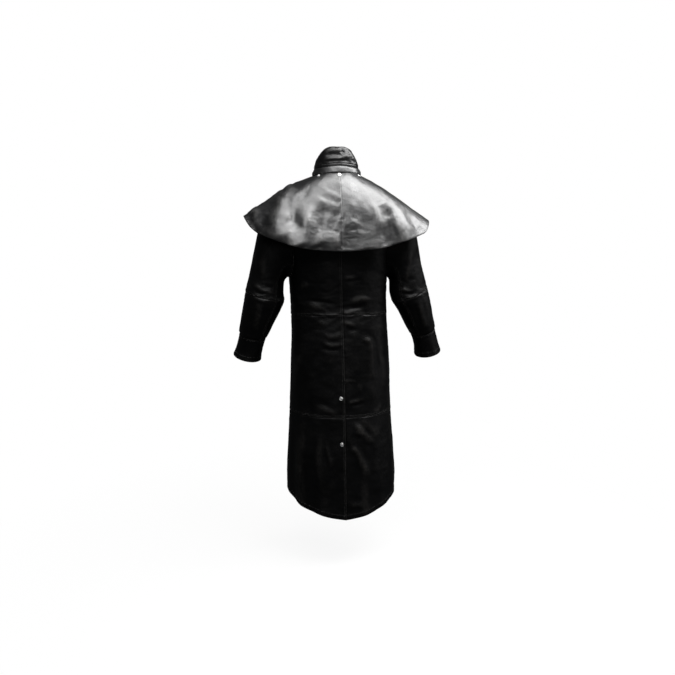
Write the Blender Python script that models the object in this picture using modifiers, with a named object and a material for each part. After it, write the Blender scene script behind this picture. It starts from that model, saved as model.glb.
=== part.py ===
"""Full-length leather duster coat with a shoulder cape, in its worn, hollow form.

Frame: metres, +Z up, the coat's front faces -Y and its back faces +Y, the wearer's left is +X.
The origin is the middle of the neck opening at shoulder level, where a wearer holds the coat up.

Every leather piece is an open surface shaped from a grid and given its thickness by Solidify.
The trunk is a set of rows, each one a cubic Bezier arc from the centre line to the side seam or the
armhole. The row parameter t runs 0 hem, 1 knee seam, 2 waist seam, 3 armpit, 5 shoulder seam.
The sleeves are rings along the arm, and the cape is a fan of rays from the neck to its hem.
"""

import math

import bmesh
import bpy
import numpy as np
from mathutils import Matrix, Vector

# ---------------------------------------------------------------- driving dimensions
WALL = 0.0020  # leather and its backing
SEAM = 0.0003  # space between two pieces sewn edge to edge
LAP = 0.0004  # space between a piece and one laid on it
HEM_BACK = -1.306  # lowest point of the hem, at the centre back
HEM_SIDE = -1.226
HEM_FRONT = -1.238
KNEE = -0.905  # height of the knee seam at the centre back
WAIST = -0.508
ARMPIT = -0.376
SLEEVE_SEAM = math.radians(128)  # hindarm and forearm seams, from the top of the arm
PLACKET_HALF = 0.034  # half the width of the front placket
VENT_TOP = -0.764
UNDERLAP = 0.052  # reach of the vent's underlap past the centre back
SNAP_R = 0.0072
SNAP_H = 0.0030
CAPE_SNAP_R = 0.0062


# ---------------------------------------------------------------- curves
def smooth(x):
    x = np.clip(x, 0.0, 1.0)
    return x * x * (3 - 2 * x)


def run(keys, t):
    """Cubic curve through (t, value) keys with slopes from their neighbours. Values are numbers or vectors."""
    kt = np.array([k[0] for k in keys], float)
    kv = np.array([np.atleast_1d(np.asarray(k[1], float)) for k in keys])
    h = np.diff(kt)[:, None]
    d = np.diff(kv, axis=0) / h
    m = np.empty_like(kv)
    m[0], m[-1] = d[0], d[-1]
    if len(kt) > 2:
        m[1:-1] = (d[:-1] * h[1:] + d[1:] * h[:-1]) / (h[1:] + h[:-1])
    t = np.clip(np.asarray(t, float), kt[0], kt[-1])
    i = np.clip(np.searchsorted(kt, t, side="right") - 1, 0, len(kt) - 2)
    s = ((t - kt[i]) / (kt[i + 1] - kt[i]))[..., None]
    hh = (kt[i + 1] - kt[i])[..., None]
    a = (1 + 2 * s) * (1 - s) ** 2
    b = s * (1 - s) ** 2
    c = s * s * (3 - 2 * s)
    e = s * s * (s - 1)
    return a * kv[i] + b * hh * m[i] + c * kv[i + 1] + e * hh * m[i + 1]


def bezier(c0, c1, c2, c3, u):
    u = np.asarray(u, float)[..., None]
    return (1 - u) ** 3 * c0 + 3 * u * (1 - u) ** 2 * c1 + 3 * u * u * (1 - u) * c2 + u**3 * c3


# ---------------------------------------------------------------- trunk
# The body stands a little off its centre line: it drifts to the wearer's right towards the hem.
SWAY = [(-1.35, -0.0135), (-1.00, -0.0125), (-0.60, -0.0080), (-0.40, -0.0022), (-0.15, 0.0020), (0.02, 0.0042), (0.13, 0.0080)]

# Below the armpit a row is part of an oval: (t, height at centre, height at side, half width, depth)
BACK_ROWS = [
    (0.00, HEM_BACK, HEM_SIDE, 0.2130, 0.188),
    (0.30, -1.190, -1.140, 0.2145, 0.180),
    (0.60, -1.060, -1.040, 0.2090, 0.169),
    (1.00, KNEE, -0.900, 0.2000, 0.156),
    (1.35, -0.760, -0.760, 0.1960, 0.147),
    (1.70, -0.620, -0.620, 0.1900, 0.136),
    (2.00, WAIST, -0.520, 0.1858, 0.129),
    (2.50, -0.430, -0.445, 0.1870, 0.132),
    (3.00, -0.350, ARMPIT, 0.1900, 0.140),
]
FRONT_ROWS = [
    (0.00, HEM_FRONT, HEM_SIDE, 0.2130, -0.172),
    (0.30, -1.145, -1.140, 0.2145, -0.166),
    (0.60, -1.043, -1.040, 0.2090, -0.158),
    (1.00, -0.900, -0.900, 0.2000, -0.150),
    (1.35, -0.760, -0.760, 0.1960, -0.146),
    (1.70, -0.620, -0.620, 0.1900, -0.142),
    (2.00, -0.520, -0.520, 0.1858, -0.138),
    (2.50, -0.440, -0.445, 0.1870, -0.138),
    (3.00, -0.360, ARMPIT, 0.1900, -0.138),
]
# Above it a row runs from the centre line, and later the neckline, to the armhole.
# (t, start, first handle, last handle, end)
BACK_TOP = [
    (3.25, (0, 0.143, -0.290), (0.100, 0.146, -0.292), (0.181, 0.100, -0.345), (0.1835, 0.036, -0.364)),
    (3.50, (0, 0.145, -0.235), (0.094, 0.149, -0.240), (0.170, 0.112, -0.300), (0.1775, 0.060, -0.330)),
    (3.75, (0, 0.141, -0.170), (0.088, 0.147, -0.180), (0.160, 0.124, -0.245), (0.1765, 0.076, -0.285)),
    (4.00, (0, 0.128, -0.105), (0.080, 0.137, -0.120), (0.155, 0.125, -0.190), (0.1800, 0.080, -0.232)),
    (4.25, (0, 0.103, -0.048), (0.068, 0.116, -0.066), (0.154, 0.117, -0.143), (0.1870, 0.074, -0.180)),
    (4.50, (0, 0.078, 0.000), (0.060, 0.094, -0.022), (0.150, 0.096, -0.108), (0.1950, 0.058, -0.134)),
    (4.75, (0.056, 0.057, -0.003), (0.094, 0.062, -0.017), (0.155, 0.062, -0.072), (0.2020, 0.032, -0.098)),
    (5.00, (0.083, 0.004, -0.011), (0.120, 0.005, -0.027), (0.160, 0.004, -0.050), (0.2050, 0.000, -0.078)),
]
FRONT_TOP = [
    (3.25, (0, -0.141, -0.305), (0.098, -0.143, -0.307), (0.179, -0.098, -0.345), (0.1820, -0.034, -0.364)),
    (3.50, (0, -0.143, -0.260), (0.092, -0.146, -0.263), (0.166, -0.108, -0.302), (0.1735, -0.056, -0.330)),
    (3.75, (0, -0.141, -0.212), (0.085, -0.145, -0.218), (0.152, -0.118, -0.252), (0.1690, -0.070, -0.285)),
    (4.00, (0, -0.133, -0.165), (0.078, -0.139, -0.172), (0.145, -0.118, -0.202), (0.1710, -0.074, -0.232)),
    (4.25, (0, -0.119, -0.122), (0.066, -0.126, -0.128), (0.144, -0.110, -0.156), (0.1790, -0.068, -0.180)),
    (4.50, (0, -0.099, -0.082), (0.056, -0.110, -0.084), (0.142, -0.092, -0.114), (0.1900, -0.052, -0.134)),
    (4.75, (0.060, -0.064, -0.042), (0.096, -0.074, -0.048), (0.150, -0.058, -0.075), (0.1995, -0.027, -0.098)),
    (5.00, (0.083, 0.004, -0.011), (0.120, 0.005, -0.027), (0.160, 0.004, -0.050), (0.2050, 0.000, -0.078)),
]


# The neckline: what the centre line turns into above t 4.5
NECK_BACK = [(4.50, (0, 0.078, 0.000)), (4.60, (0.029, 0.0750, -0.0005)), (4.75, (0.057, 0.0575, -0.003)), (5.00, (0.083, 0.004, -0.011))]
NECK_FRONT = [(4.50, (0, -0.099, -0.082)), (4.60, (0.028, -0.0905, -0.069)), (4.75, (0.060, -0.0645, -0.042)), (5.00, (0.083, 0.004, -0.011))]


def oval(row):
    """Bezier handles of a quarter of an oval from its row of sizes."""
    t, zc, zs, a, b = row
    zh = zc + (zs - zc) * 0.16
    zg = zs + (zc - zs) * 0.30
    return (t, (0, b, zc), (a * 0.60, b, zh), (a, b * 0.60, zg), (a, 0, zs))


def tracks(low, top, neckline):
    """The four Bezier points as curves in t, cut at the armpit, where the armhole starts square.

    The first is cut again at t 4.5, where the centre line meets the neckline.
    """
    lows = [oval(r) for r in low]
    tops = [lows[-1]] + list(top)
    out = []
    for k in range(1, 5):
        cuts = (0.0, 3.0, 4.5, 5.0) if k == 1 else (0.0, 3.0, 5.0)
        keys = [(r[0], r[k]) for r in lows + tops[1:]]
        out.append([(a, b, [q for q in keys if a <= q[0] <= b]) for a, b in zip(cuts, cuts[1:])])
    out[0][2] = (4.5, 5.0, neckline)
    return out


BACK, FRONT = tracks(BACK_ROWS, BACK_TOP, NECK_BACK), tracks(FRONT_ROWS, FRONT_TOP, NECK_FRONT)


def trunk(t, u, back, side):
    """Inner face of the trunk. u is 0 at the centre and 1 at the side or armhole; side is 1 left, -1 right."""
    t, u = np.broadcast_arrays(np.asarray(t, float), np.asarray(u, float))
    pts = []
    for pieces in BACK if back else FRONT:
        p = run(pieces[0][2], t)
        for a, _, keys in pieces[1:]:
            p = np.where((t > a)[..., None], run(keys, t), p)
        pts.append(p)
    p = bezier(*pts, np.abs(u))
    p[..., 0] *= np.where(u < 0, -side, side)
    p[..., 0] += run(SWAY, p[..., 2])[..., 0]
    return p


def trunk_normal(t, u, back, side):
    e = 1e-4
    d = trunk(t, u + e, back, side) - trunk(t, u - e, back, side)
    up = trunk(t + e, u, back, side) - trunk(t - e, u, back, side)
    n = np.cross(d, up)
    n /= np.linalg.norm(n, axis=-1, keepdims=True) + 1e-12
    s = np.sign(n[..., 1] * (1 if back else -1) + 1e-9)[..., None]
    return n * s


def t_at(z, back, lo=0.0, hi=4.4):
    """The row whose centre point is at height z."""
    for _ in range(50):
        mid = (lo + hi) / 2
        if trunk(mid, 0.0, back, 1)[2] < z:
            lo = mid
        else:
            hi = mid
    return (lo + hi) / 2


def u_at(t, x, back):
    """The place along a row whose distance from the centre line is x."""
    lo, hi = 0.0, 1.0
    base = trunk(t, 0.0, back, 1)[0]
    for _ in range(40):
        mid = (lo + hi) / 2
        if trunk(t, mid, back, 1)[0] - base < x:
            lo = mid
        else:
            hi = mid
    return (lo + hi) / 2


# ---------------------------------------------------------------- sleeves
# (s, centre x, centre y, centre z, half width, half depth, lean of the arm from vertical, forward lean), degrees
ARM_LEFT = [
    (1.0, 0.2448, 0.000, -0.2692, 0.1134, 0.0830, 63, 0),
    (2.0, 0.2720, 0.003, -0.3560, 0.0710, 0.0760, 27, 1),
    (3.0, 0.2830, 0.006, -0.4150, 0.0720, 0.0750, 13, 2),
    (4.0, 0.2860, 0.008, -0.4500, 0.0770, 0.0750, 11, 3),
    (5.0, 0.2985, 0.006, -0.4900, 0.0720, 0.0710, 12, 6),
    (6.0, 0.3170, -0.003, -0.5450, 0.0640, 0.0650, 14, 9),
    (7.0, 0.3290, -0.011, -0.5830, 0.0590, 0.0600, 13, 11),
    (7.4, 0.3330, -0.013, -0.5950, 0.0565, 0.0580, 13, 11),
    (8.0, 0.3350, -0.014, -0.6030, 0.0520, 0.0540, 12, 11),
    (8.5, 0.3450, -0.021, -0.6440, 0.0510, 0.0530, 12, 12),
    (9.0, 0.3550, -0.027, -0.6810, 0.0535, 0.0545, 12, 13),
    (9.2, 0.3570, -0.028, -0.6885, 0.0555, 0.0565, 12, 13),
]
ARM_RIGHT = [
    (1.0, 0.2436, 0.000, -0.2733, 0.1123, 0.0830, 62, 0),
    (2.0, 0.2685, 0.003, -0.3600, 0.0705, 0.0750, 26, 1),
    (3.0, 0.2780, 0.006, -0.4180, 0.0735, 0.0750, 15, 2),
    (4.0, 0.2890, 0.008, -0.4550, 0.0735, 0.0745, 16, 3),
    (5.0, 0.3070, 0.006, -0.4950, 0.0660, 0.0695, 19, 6),
    (6.0, 0.3280, -0.003, -0.5520, 0.0580, 0.0640, 20, 9),
    (7.0, 0.3410, -0.011, -0.5800, 0.0540, 0.0590, 19, 11),
    (7.4, 0.3450, -0.013, -0.5900, 0.0525, 0.0570, 18, 11),
    (8.0, 0.3475, -0.014, -0.5970, 0.0490, 0.0535, 17, 11),
    (8.5, 0.3600, -0.021, -0.6400, 0.0485, 0.0525, 15, 12),
    (9.0, 0.3690, -0.027, -0.6790, 0.0515, 0.0540, 13, 13),
    (9.2, 0.3710, -0.028, -0.6865, 0.0535, 0.0560, 13, 13),
]
ELBOW = {1: (3.85, 0.04), -1: (3.78, 0.26)}  # the elbow seam: its place along the arm, and how far its outer side rises


def elbow(phi, side):
    mid, rise = ELBOW[side]
    return mid - rise * np.cos(phi)


def armhole(phi, side, out):
    """The armhole at angle phi round the arm: 0 at the shoulder, pi at the armpit, positive to the back."""
    phi = np.asarray(phi, float)
    t = 5.0 - 2.0 * np.abs(phi) / math.pi
    one = np.ones_like(t)
    b = trunk(t, one, True, side)
    f = trunk(t, one, False, side)
    return np.where((phi >= 0)[..., None], b, f) + np.array([side * out, 0, 0])


def arm_ring(row, phi, side):
    _, x, y, z, w, d, lean, fore = row
    a, b = math.radians(lean), math.radians(fore)
    lat = np.array([side * math.cos(a), 0.0, math.sin(a)])
    axis = np.array([side * math.sin(a), -math.sin(b), -math.cos(a)])
    axis /= np.linalg.norm(axis)
    dep = np.cross(axis, lat) * side
    dep /= np.linalg.norm(dep)
    if dep[1] < 0:
        dep = -dep
    lat = np.cross(dep, axis)
    lat *= np.sign(lat[0]) * side
    c = np.array([side * x, y, z])
    phi = np.asarray(phi, float)[..., None]
    return c + w * np.cos(phi) * lat + d * np.sin(phi) * dep


def sleeve(s, phi, side):
    """Outer face of a sleeve; s is 0 at the armhole and 9.2 at the end of the cuff."""
    rows = ARM_LEFT if side > 0 else ARM_RIGHT
    s, phi = np.broadcast_arrays(np.asarray(s, float), np.asarray(phi, float))
    kt = np.array([0.0] + [r[0] for r in rows])
    lift = WALL * 1.3 * np.cos(phi) ** 2 + 0.0024
    first = armhole(phi, side, 0.0)
    first[..., 0] += side * lift
    first[..., 2] += WALL * 1.1 * np.maximum(np.cos(phi), 0.0)
    kv = np.stack([first] + [arm_ring(r, phi, side) for r in rows])
    h = np.diff(kt)
    d = np.diff(kv, axis=0) / h[:, None, None] if phi.ndim == 1 else np.diff(kv, axis=0) / h[:, None, None, None]
    m = np.empty_like(kv)
    m[0], m[-1] = d[0], d[-1]
    for i in range(1, len(kt) - 1):
        m[i] = (d[i - 1] * h[i] + d[i] * h[i - 1]) / (h[i] + h[i - 1])
    i = np.clip(np.searchsorted(kt, s, side="right") - 1, 0, len(kt) - 2)
    q = ((s - kt[i]) / h[i])[..., None]
    grid = np.indices(s.shape)
    pick = lambda a, j: a[(j, *grid)]
    hh = h[i][..., None]
    return (
        (1 + 2 * q) * (1 - q) ** 2 * pick(kv, i)
        + q * (1 - q) ** 2 * hh * pick(m, i)
        + q * q * (3 - 2 * q) * pick(kv, i + 1)
        + q * q * (q - 1) * hh * pick(m, i + 1)
    )


# ---------------------------------------------------------------- cape
# Rays of the cape: (q, neck, first handle, last handle, hem). q is 0 centre back, 1 shoulder, 2 front edge.
CAPE = [
    (0.0, (0.000, 0.0900, 0.024), (0.000, 0.130, -0.014), (0.000, 0.170, -0.140), (0.000, 0.187, -0.262)),
    (0.2, (0.030, 0.0860, 0.023), (0.046, 0.126, -0.014), (0.078, 0.167, -0.138), (0.085, 0.185, -0.258)),
    (0.4, (0.057, 0.0740, 0.020), (0.092, 0.112, -0.012), (0.148, 0.158, -0.128), (0.166, 0.175, -0.247)),
    (0.6, (0.077, 0.0530, 0.016), (0.132, 0.088, -0.010), (0.216, 0.138, -0.110), (0.248, 0.151, -0.222)),
    (0.8, (0.089, 0.0280, 0.012), (0.158, 0.046, -0.016), (0.264, 0.080, -0.089), (0.325, 0.098, -0.187)),
    (1.0, (0.094, 0.0000, 0.010), (0.165, 0.002, -0.015), (0.275, 0.004, -0.077), (0.360, 0.006, -0.138)),
    (1.2, (0.092, -0.0300, 0.002), (0.158, -0.045, -0.022), (0.266, -0.072, -0.093), (0.330, -0.088, -0.188)),
    (1.4, (0.083, -0.0570, -0.014), (0.136, -0.088, -0.036), (0.226, -0.130, -0.126), (0.264, -0.142, -0.236)),
    (1.6, (0.067, -0.0800, -0.034), (0.106, -0.118, -0.062), (0.166, -0.164, -0.158), (0.188, -0.176, -0.266)),
    (1.8, (0.047, -0.0970, -0.054), (0.076, -0.136, -0.088), (0.112, -0.180, -0.182), (0.122, -0.190, -0.284)),
    (2.0, (0.026, -0.1080, -0.071), (0.042, -0.144, -0.106), (0.058, -0.184, -0.196), (0.062, -0.194, -0.284)),
]


def cape(q, r, side):
    """Inner face of the cape, from the neck (r 0) to the hem (r 1)."""
    q, r = np.broadcast_arrays(np.asarray(q, float), np.asarray(r, float))
    pts = [run([(k[0], k[i]) for k in CAPE], q) for i in range(1, 5)]
    p = bezier(*pts, r)
    out = np.abs(p[..., 0])
    # soft folds of the hanging leather, deepest at the hem
    for at, width, deep in ((0.20, 0.055, -0.006), (0.36, 0.060, 0.008), (0.50, 0.05, -0.006), (0.74, 0.06, -0.012), (1.30, 0.07, -0.008), (1.62, 0.07, 0.006)):
        w = deep * np.exp(-(((q - at) / width) ** 2)) * smooth((r - 0.35) / 0.6)
        p[..., 1] += w * np.where(q < 1, 1.0, -1.0)
    if side < 0:
        p[..., 2] -= 0.022 * smooth((out - 0.08) / 0.26) * np.exp(-(((q - 1.0) / 0.32) ** 2))
    p[..., 0] *= side
    p[..., 0] += run(SWAY, p[..., 2])[..., 0]
    return p


# ---------------------------------------------------------------- collar
# Rings round the neck: (angle from the centre back in degrees, x, y, z)
def ring(keys, theta):
    """A ring through keys for the wearer's left, mirrored for the right."""
    theta = np.asarray(theta, float)
    before = (-keys[1][0], -keys[1][1], *keys[1][2:])
    after = (360 - keys[-2][0], -keys[-2][1], *keys[-2][2:])
    p = run([(math.radians(k[0]), k[1:]) for k in (before, *keys, after)], np.abs(theta))
    p[..., 0] *= np.where(theta < 0, -1.0, 1.0)
    return p


STAND_TOP = [(0, 0.000, 0.0815, 0.060), (45, 0.0605, 0.0560, 0.055), (90, 0.0822, -0.0020, 0.042), (135, 0.0590, -0.066, 0.004), (180, 0.000, -0.0975, -0.034)]
FALL_MID = [(0, 0.000, 0.0775, 0.088), (45, 0.0580, 0.0530, 0.082), (90, 0.0765, -0.0035, 0.066), (135, 0.0590, -0.069, 0.032), (180, 0.000, -0.1020, 0.006)]
FALL_TOP = [(0, 0.000, 0.0640, 0.1205), (26, 0.0270, 0.0570, 0.1200), (50, 0.0470, 0.0380, 0.1110), (90, 0.0600, -0.0060, 0.088), (135, 0.0510, -0.069, 0.062), (180, 0.000, -0.1030, 0.046)]
BAND_LOW = [(0, 0.000, 0.0915, 0.0262), (45, 0.0650, 0.0658, 0.0200), (90, 0.0905, 0.0000, 0.0125), (135, 0.0650, -0.078, -0.0300), (180, 0.000, -0.1120, -0.0660)]
BAND_TOP = [(0, 0.000, 0.0870, 0.0500), (45, 0.0620, 0.0615, 0.0430), (90, 0.0872, -0.0005, 0.0330), (135, 0.0622, -0.0755, -0.0080), (180, 0.000, -0.1090, -0.0440)]


def neck(theta):
    """The top edge of the trunk round the neck, raised to clear the trunk's thickness."""
    theta = np.asarray(theta, float)
    q = np.abs(theta) / (math.pi / 2)
    back = q <= 1
    t = np.where(back, 4.5 + 0.5 * q, 5.5 - 0.5 * q)
    side = np.where(theta < 0, -1.0, 1.0)
    zero = np.full(t.shape, 1e-3)
    p = np.where(back[..., None], trunk(t, zero, True, side), trunk(t, zero, False, side))
    p[..., 2] += WALL + 2 * LAP
    return p


def collar(theta, v):
    """Inner face of the upright collar: v is 0 at the neck, 0.45 at the seam between stand and fall, 1 at the top."""
    theta, v = np.broadcast_arrays(np.asarray(theta, float), np.asarray(v, float))
    rings = [neck(theta)]
    for keys in (STAND_TOP, FALL_MID, FALL_TOP):
        p = ring(keys, theta)
        p[..., 0] += run(SWAY, p[..., 2])[..., 0]
        rings.append(p)
    kt = [0.0, 0.45, 0.72, 1.0]
    out = np.zeros_like(rings[0])
    for k in range(len(kt)):
        # cubic through the four rings
        w = np.ones_like(v)
        for j in range(len(kt)):
            if j != k:
                w = w * (v - kt[j]) / (kt[k] - kt[j])
        out = out + w[..., None] * rings[k]
    return out


def between(low, top, theta, v, bulge):
    p = ring(low, theta) * (1 - v)[..., None] + ring(top, theta) * v[..., None]
    out = np.stack([np.sin(theta), np.cos(theta), np.zeros_like(theta)], -1)
    p = p + out * (bulge * 4 * v * (1 - v))[..., None]
    p[..., 0] += run(SWAY, p[..., 2])[..., 0]
    return p


# ---------------------------------------------------------------- building
for old in list(bpy.data.objects):
    bpy.data.objects.remove(old, do_unlink=True)

coat = bpy.data.collections.new("leather_duster_coat")
bpy.context.scene.collection.children.link(coat)
hold = bpy.data.objects.new("shoulder_rest", None)
hold.empty_display_size = 0.1
coat.objects.link(hold)


def material(name, colour, rough, metal):
    m = bpy.data.materials.new(name)
    m.use_nodes = True
    b = m.node_tree.nodes["Principled BSDF"]
    b.inputs["Base Color"].default_value = (*colour, 1)
    b.inputs["Roughness"].default_value = rough
    b.inputs["Metallic"].default_value = metal
    return m


LEATHER = material("black_leather", (0.012, 0.012, 0.013), 0.42, 0.0)
CAPE_LEATHER = material("cape_leather", (0.014, 0.014, 0.015), 0.34, 0.0)
METAL = material("snap_metal", (0.78, 0.78, 0.77), 0.22, 1.0)


def trimmed(p, gaps):
    """Draws the border of a grid of points inwards. gaps: before and after along each of its two directions, in metres."""
    p = p.copy()
    (i0, i1), (j0, j1) = gaps
    for g, a, b in ((i0, 0, 1), (i1, -1, -2)):
        if g:
            d = p[b] - p[a]
            p[a] = p[a] + d / np.linalg.norm(d, axis=-1, keepdims=True) * g
    for g, a, b in ((j0, 0, 1), (j1, -1, -2)):
        if g:
            d = p[:, b] - p[:, a]
            p[:, a] = p[:, a] + d / np.linalg.norm(d, axis=-1, keepdims=True) * g
    return p


def shell(name, points, mat, flip=False, offset=1.0, closed=False, wall=WALL):
    """A leather piece: a grid shaped to points[i, j], then thickened by Solidify."""
    ni, nj = points.shape[:2]
    bm = bmesh.new()
    bmesh.ops.create_grid(bm, x_segments=ni - 1, y_segments=nj - 1, size=0.5)
    for v in bm.verts:
        i = round((v.co.x + 0.5) * (ni - 1))
        j = round((v.co.y + 0.5) * (nj - 1))
        v.co = Vector(points[i, j])
    if closed:
        bmesh.ops.remove_doubles(bm, verts=bm.verts[:], dist=1e-5)
    if flip:
        bmesh.ops.reverse_faces(bm, faces=bm.faces[:])
    mesh = bpy.data.meshes.new(name)
    bm.to_mesh(mesh)
    bm.free()
    mesh.shade_smooth()
    mesh.materials.append(mat)
    obj = bpy.data.objects.new(name, mesh)
    coat.objects.link(obj)
    obj.parent = hold
    mod = obj.modifiers.new("thickness", "SOLIDIFY")
    mod.thickness = wall
    mod.offset = offset
    mod.use_even_offset = False
    mod.use_rim = True
    return obj


def strip_columns(t_rows, back, reaches, rest):
    """Columns for each row: the centre line, points at set distances from it, then shares of what is left."""
    out = []
    for t in t_rows:
        near = [u_at(t, x, back) for x in reaches]
        out.append([0.0, *near, *(near[-1] + (1 - near[-1]) * np.array(rest))])
    return np.array(out)


def panel(name, t_rows, u, back, side, gaps, mat=LEATHER):
    if u.ndim == 1:
        u = np.repeat(u[None, :], len(t_rows), 0)
    t = np.repeat(t_rows[:, None], u.shape[1], 1)
    p = trimmed(trunk(t, u, back, side), gaps)
    return shell(name, p, mat, flip=(back == (side < 0)))


def strip(name, t_rows, columns, back, lift, flip):
    """A narrow piece along the centre line, from the panels' own points moved out by lift, or in where lift is negative."""
    t = np.repeat(t_rows[:, None], columns.shape[1], 1)
    p = trunk(t, columns, back, 1) + trunk_normal(t, columns, back, 1) * lift
    return shell(name, p, LEATHER, flip=flip)


G = SEAM / 2
SIDES = (("left", 1), ("right", -1))
LOWER = np.array([0, 0.15, 0.35, 0.6, 0.8, 1.0])
MIDDLE = np.array([1.0, 1.2, t_at(VENT_TOP, True), 1.6, 1.8, 2.0])
UPPER = np.array([2.0, 2.3, 2.65, 3.0, 3.25, 3.5, 3.75, 4.0, 4.25, 4.5, 4.75, 5.0])
UPPER_FRONT = np.array([2.0, 2.3, 2.65, 3.0, 3.25, 3.5, 3.75, 4.0, 4.22, 4.42, 4.6, 4.8, 5.0])
REST = (0.22, 0.45, 0.66, 0.84, 1.0)


def columns_of(rows, back):
    return strip_columns(rows, back, (0.016, UNDERLAP) if back else (PLACKET_HALF,), REST)


U = np.array([0, 0.16, 0.33, 0.5, 0.68, 0.85, 1.0])
for word, side in SIDES:
    panel(f"back_lower_{word}", LOWER, columns_of(LOWER, True), True, side, ((0, G), (G, G)))
    panel(f"back_middle_{word}", MIDDLE, columns_of(MIDDLE, True), True, side, ((G, G), (G, G)))
    panel(f"back_upper_{word}", UPPER, U, True, side, ((G, G * 2), (G, G * 2)))
    panel(f"front_lower_{word}", LOWER, columns_of(LOWER, False), False, side, ((0, G), (G, G)))
    panel(f"front_middle_{word}", MIDDLE, columns_of(MIDDLE, False), False, side, ((G, G), (G, G)))
    panel(f"front_upper_{word}", UPPER_FRONT, columns_of(np.minimum(UPPER_FRONT, 4.42), False), False, side, ((G, G * 2), (G, G * 2)))

# the vent's underlap, sewn inside the right back and reaching under the left one
rows = np.concatenate([LOWER, MIDDLE[1:3]])
u = columns_of(rows, True)
rows = rows + np.where(rows == 0, 0.012, 0.0)
strip("vent_underlap", rows, np.stack([-u[:, 1], u[:, 0], u[:, 1], u[:, 2]], 1), True, -(WALL + 2 * LAP), False)

# the front placket, laid over both fronts from the neck to the hem
rows = np.concatenate([LOWER, MIDDLE[1:], UPPER_FRONT[1:10]])
u = columns_of(rows, False)
strip("front_placket", rows, np.stack([-u[:, 1], u[:, 0], u[:, 1]], 1), False, WALL + 2.5 * LAP, True)

# sleeves: a top and an under sleeve, each joined at the elbow, and a cuff
TOP_PHI = np.linspace(-SLEEVE_SEAM, SLEEVE_SEAM, 13)
UNDER_PHI = np.linspace(SLEEVE_SEAM, 2 * math.pi - SLEEVE_SEAM, 7)
S_UP = np.array([0.0, 0.11, 0.23, 0.36, 0.50, 0.66, 0.83, 1.0])
S_LOW = np.array([0.0, 0.16, 0.34, 0.52, 0.68, 0.80, 0.90, 1.0])
for word, side in SIDES:
    for part, ss, ends in (("upper", S_UP, (0.0006, 0.0007)), ("lower", S_LOW, (0.0007, 0.0003))):
        for kind, phis in (("top", TOP_PHI), ("under", UNDER_PHI)):
            share, phi = np.meshgrid(ss, phis, indexing="ij")
            wrapped = (phi + math.pi) % (2 * math.pi) - math.pi
            joint = elbow(phi, side)
            s = share * joint if part == "upper" else joint + share * (8.0 - joint)
            p = trimmed(sleeve(s, wrapped, side), (ends, (0.00045, 0.00045)))
            shell(f"sleeve_{kind}_{part}_{word}", p, LEATHER, flip=(side < 0), offset=-1.0)
    s, phi = np.meshgrid(np.array([8.0, 8.5, 9.0, 9.2]), np.linspace(-math.pi, math.pi, 19), indexing="ij")
    p = sleeve(s, phi, side)
    p[:, -1] = p[:, 0]
    p = trimmed(p, ((0.0003, 0), (0, 0)))
    shell(f"cuff_{word}", p, LEATHER, flip=(side < 0), offset=-1.0, closed=True, wall=0.0026)

# cape: a back and a front piece each side, with a shoulder seam
R = np.array([0.0, 0.14, 0.3, 0.46, 0.62, 0.78, 0.9, 1.0])
for word, side in SIDES:
    for face, qs in (("back", np.linspace(0, 1, 10)), ("front", np.linspace(1, 2, 9))):
        r, q = np.meshgrid(R, qs, indexing="ij")
        after = G * 1.4 if face == "back" else 0  # the front edge is free
        p = trimmed(cape(q, r, side), ((0, 0), (G * 1.4, after)))
        shell(f"cape_{face}_{word}", p, CAPE_LEATHER, flip=(side > 0))

theta, v = np.meshgrid(np.radians(np.linspace(-168, 168, 25)), np.array([0.0, 0.5, 1.0]), indexing="ij")
shell("cape_neckband", between(BAND_LOW, BAND_TOP, theta, v, 0.001), CAPE_LEATHER, flip=True)

theta, v = np.meshgrid(np.radians(np.linspace(-176, 176, 25)), np.array([0.0, 0.15, 0.3, 0.45]), indexing="ij")
shell("collar_stand", trimmed(collar(theta, v), ((0, 0), (0, 4 * G))), LEATHER, flip=True)

v1 = np.array([0.45, 0.6, 0.8, 1.0])
base = np.linspace(-1, 1, 25)
theta = np.stack([np.radians(base * (166 - 26 * (w - 0.45))) for w in v1], 1)
v = np.repeat(v1[None, :], 25, 0)
shell("collar_fall", trimmed(collar(theta, v), ((0, 0), (4 * G, 0))), LEATHER, flip=True)


# ---------------------------------------------------------------- snaps
def snap(name, at, normal, radius, height):
    """A domed metal snap cap, turned about its own axis."""
    normal = Vector(normal).normalized()
    prof = [(0.0, height), (radius * 0.6, height * 0.86), (radius, height * 0.3), (radius * 0.97, 0.0), (0.0, 0.0)]
    mesh = bpy.data.meshes.new(name)
    bm = bmesh.new()
    vs = [bm.verts.new((x, 0, z)) for x, z in prof]
    for a, b in zip(vs, vs[1:]):
        bm.edges.new((a, b))
    bm.to_mesh(mesh)
    bm.free()
    mesh.materials.append(METAL)
    obj = bpy.data.objects.new(name, mesh)
    coat.objects.link(obj)
    obj.parent = hold
    obj.location = Vector(at)
    obj.rotation_mode = "QUATERNION"
    obj.rotation_quaternion = normal.to_track_quat("Z", "Y")
    mod = obj.modifiers.new("turn", "SCREW")
    mod.axis = "Z"
    mod.steps = mod.render_steps = 10
    mod.use_merge_vertices = True
    mod.merge_threshold = 0.0001
    mod.use_smooth_shade = True
    return obj


def on_trunk(z, x, back, side, over):
    t = t_at(z, back)
    u = u_at(t, x, back)
    n = trunk_normal(t, u, back, side)
    return trunk(t, u, back, side) + n * over, n


for i, z in enumerate((-0.828, -1.008)):
    at, n = on_trunk(z, 0.016, True, 1, WALL + LAP)
    snap(f"vent_snap_{i + 1}", at, n, SNAP_R, SNAP_H)

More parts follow.
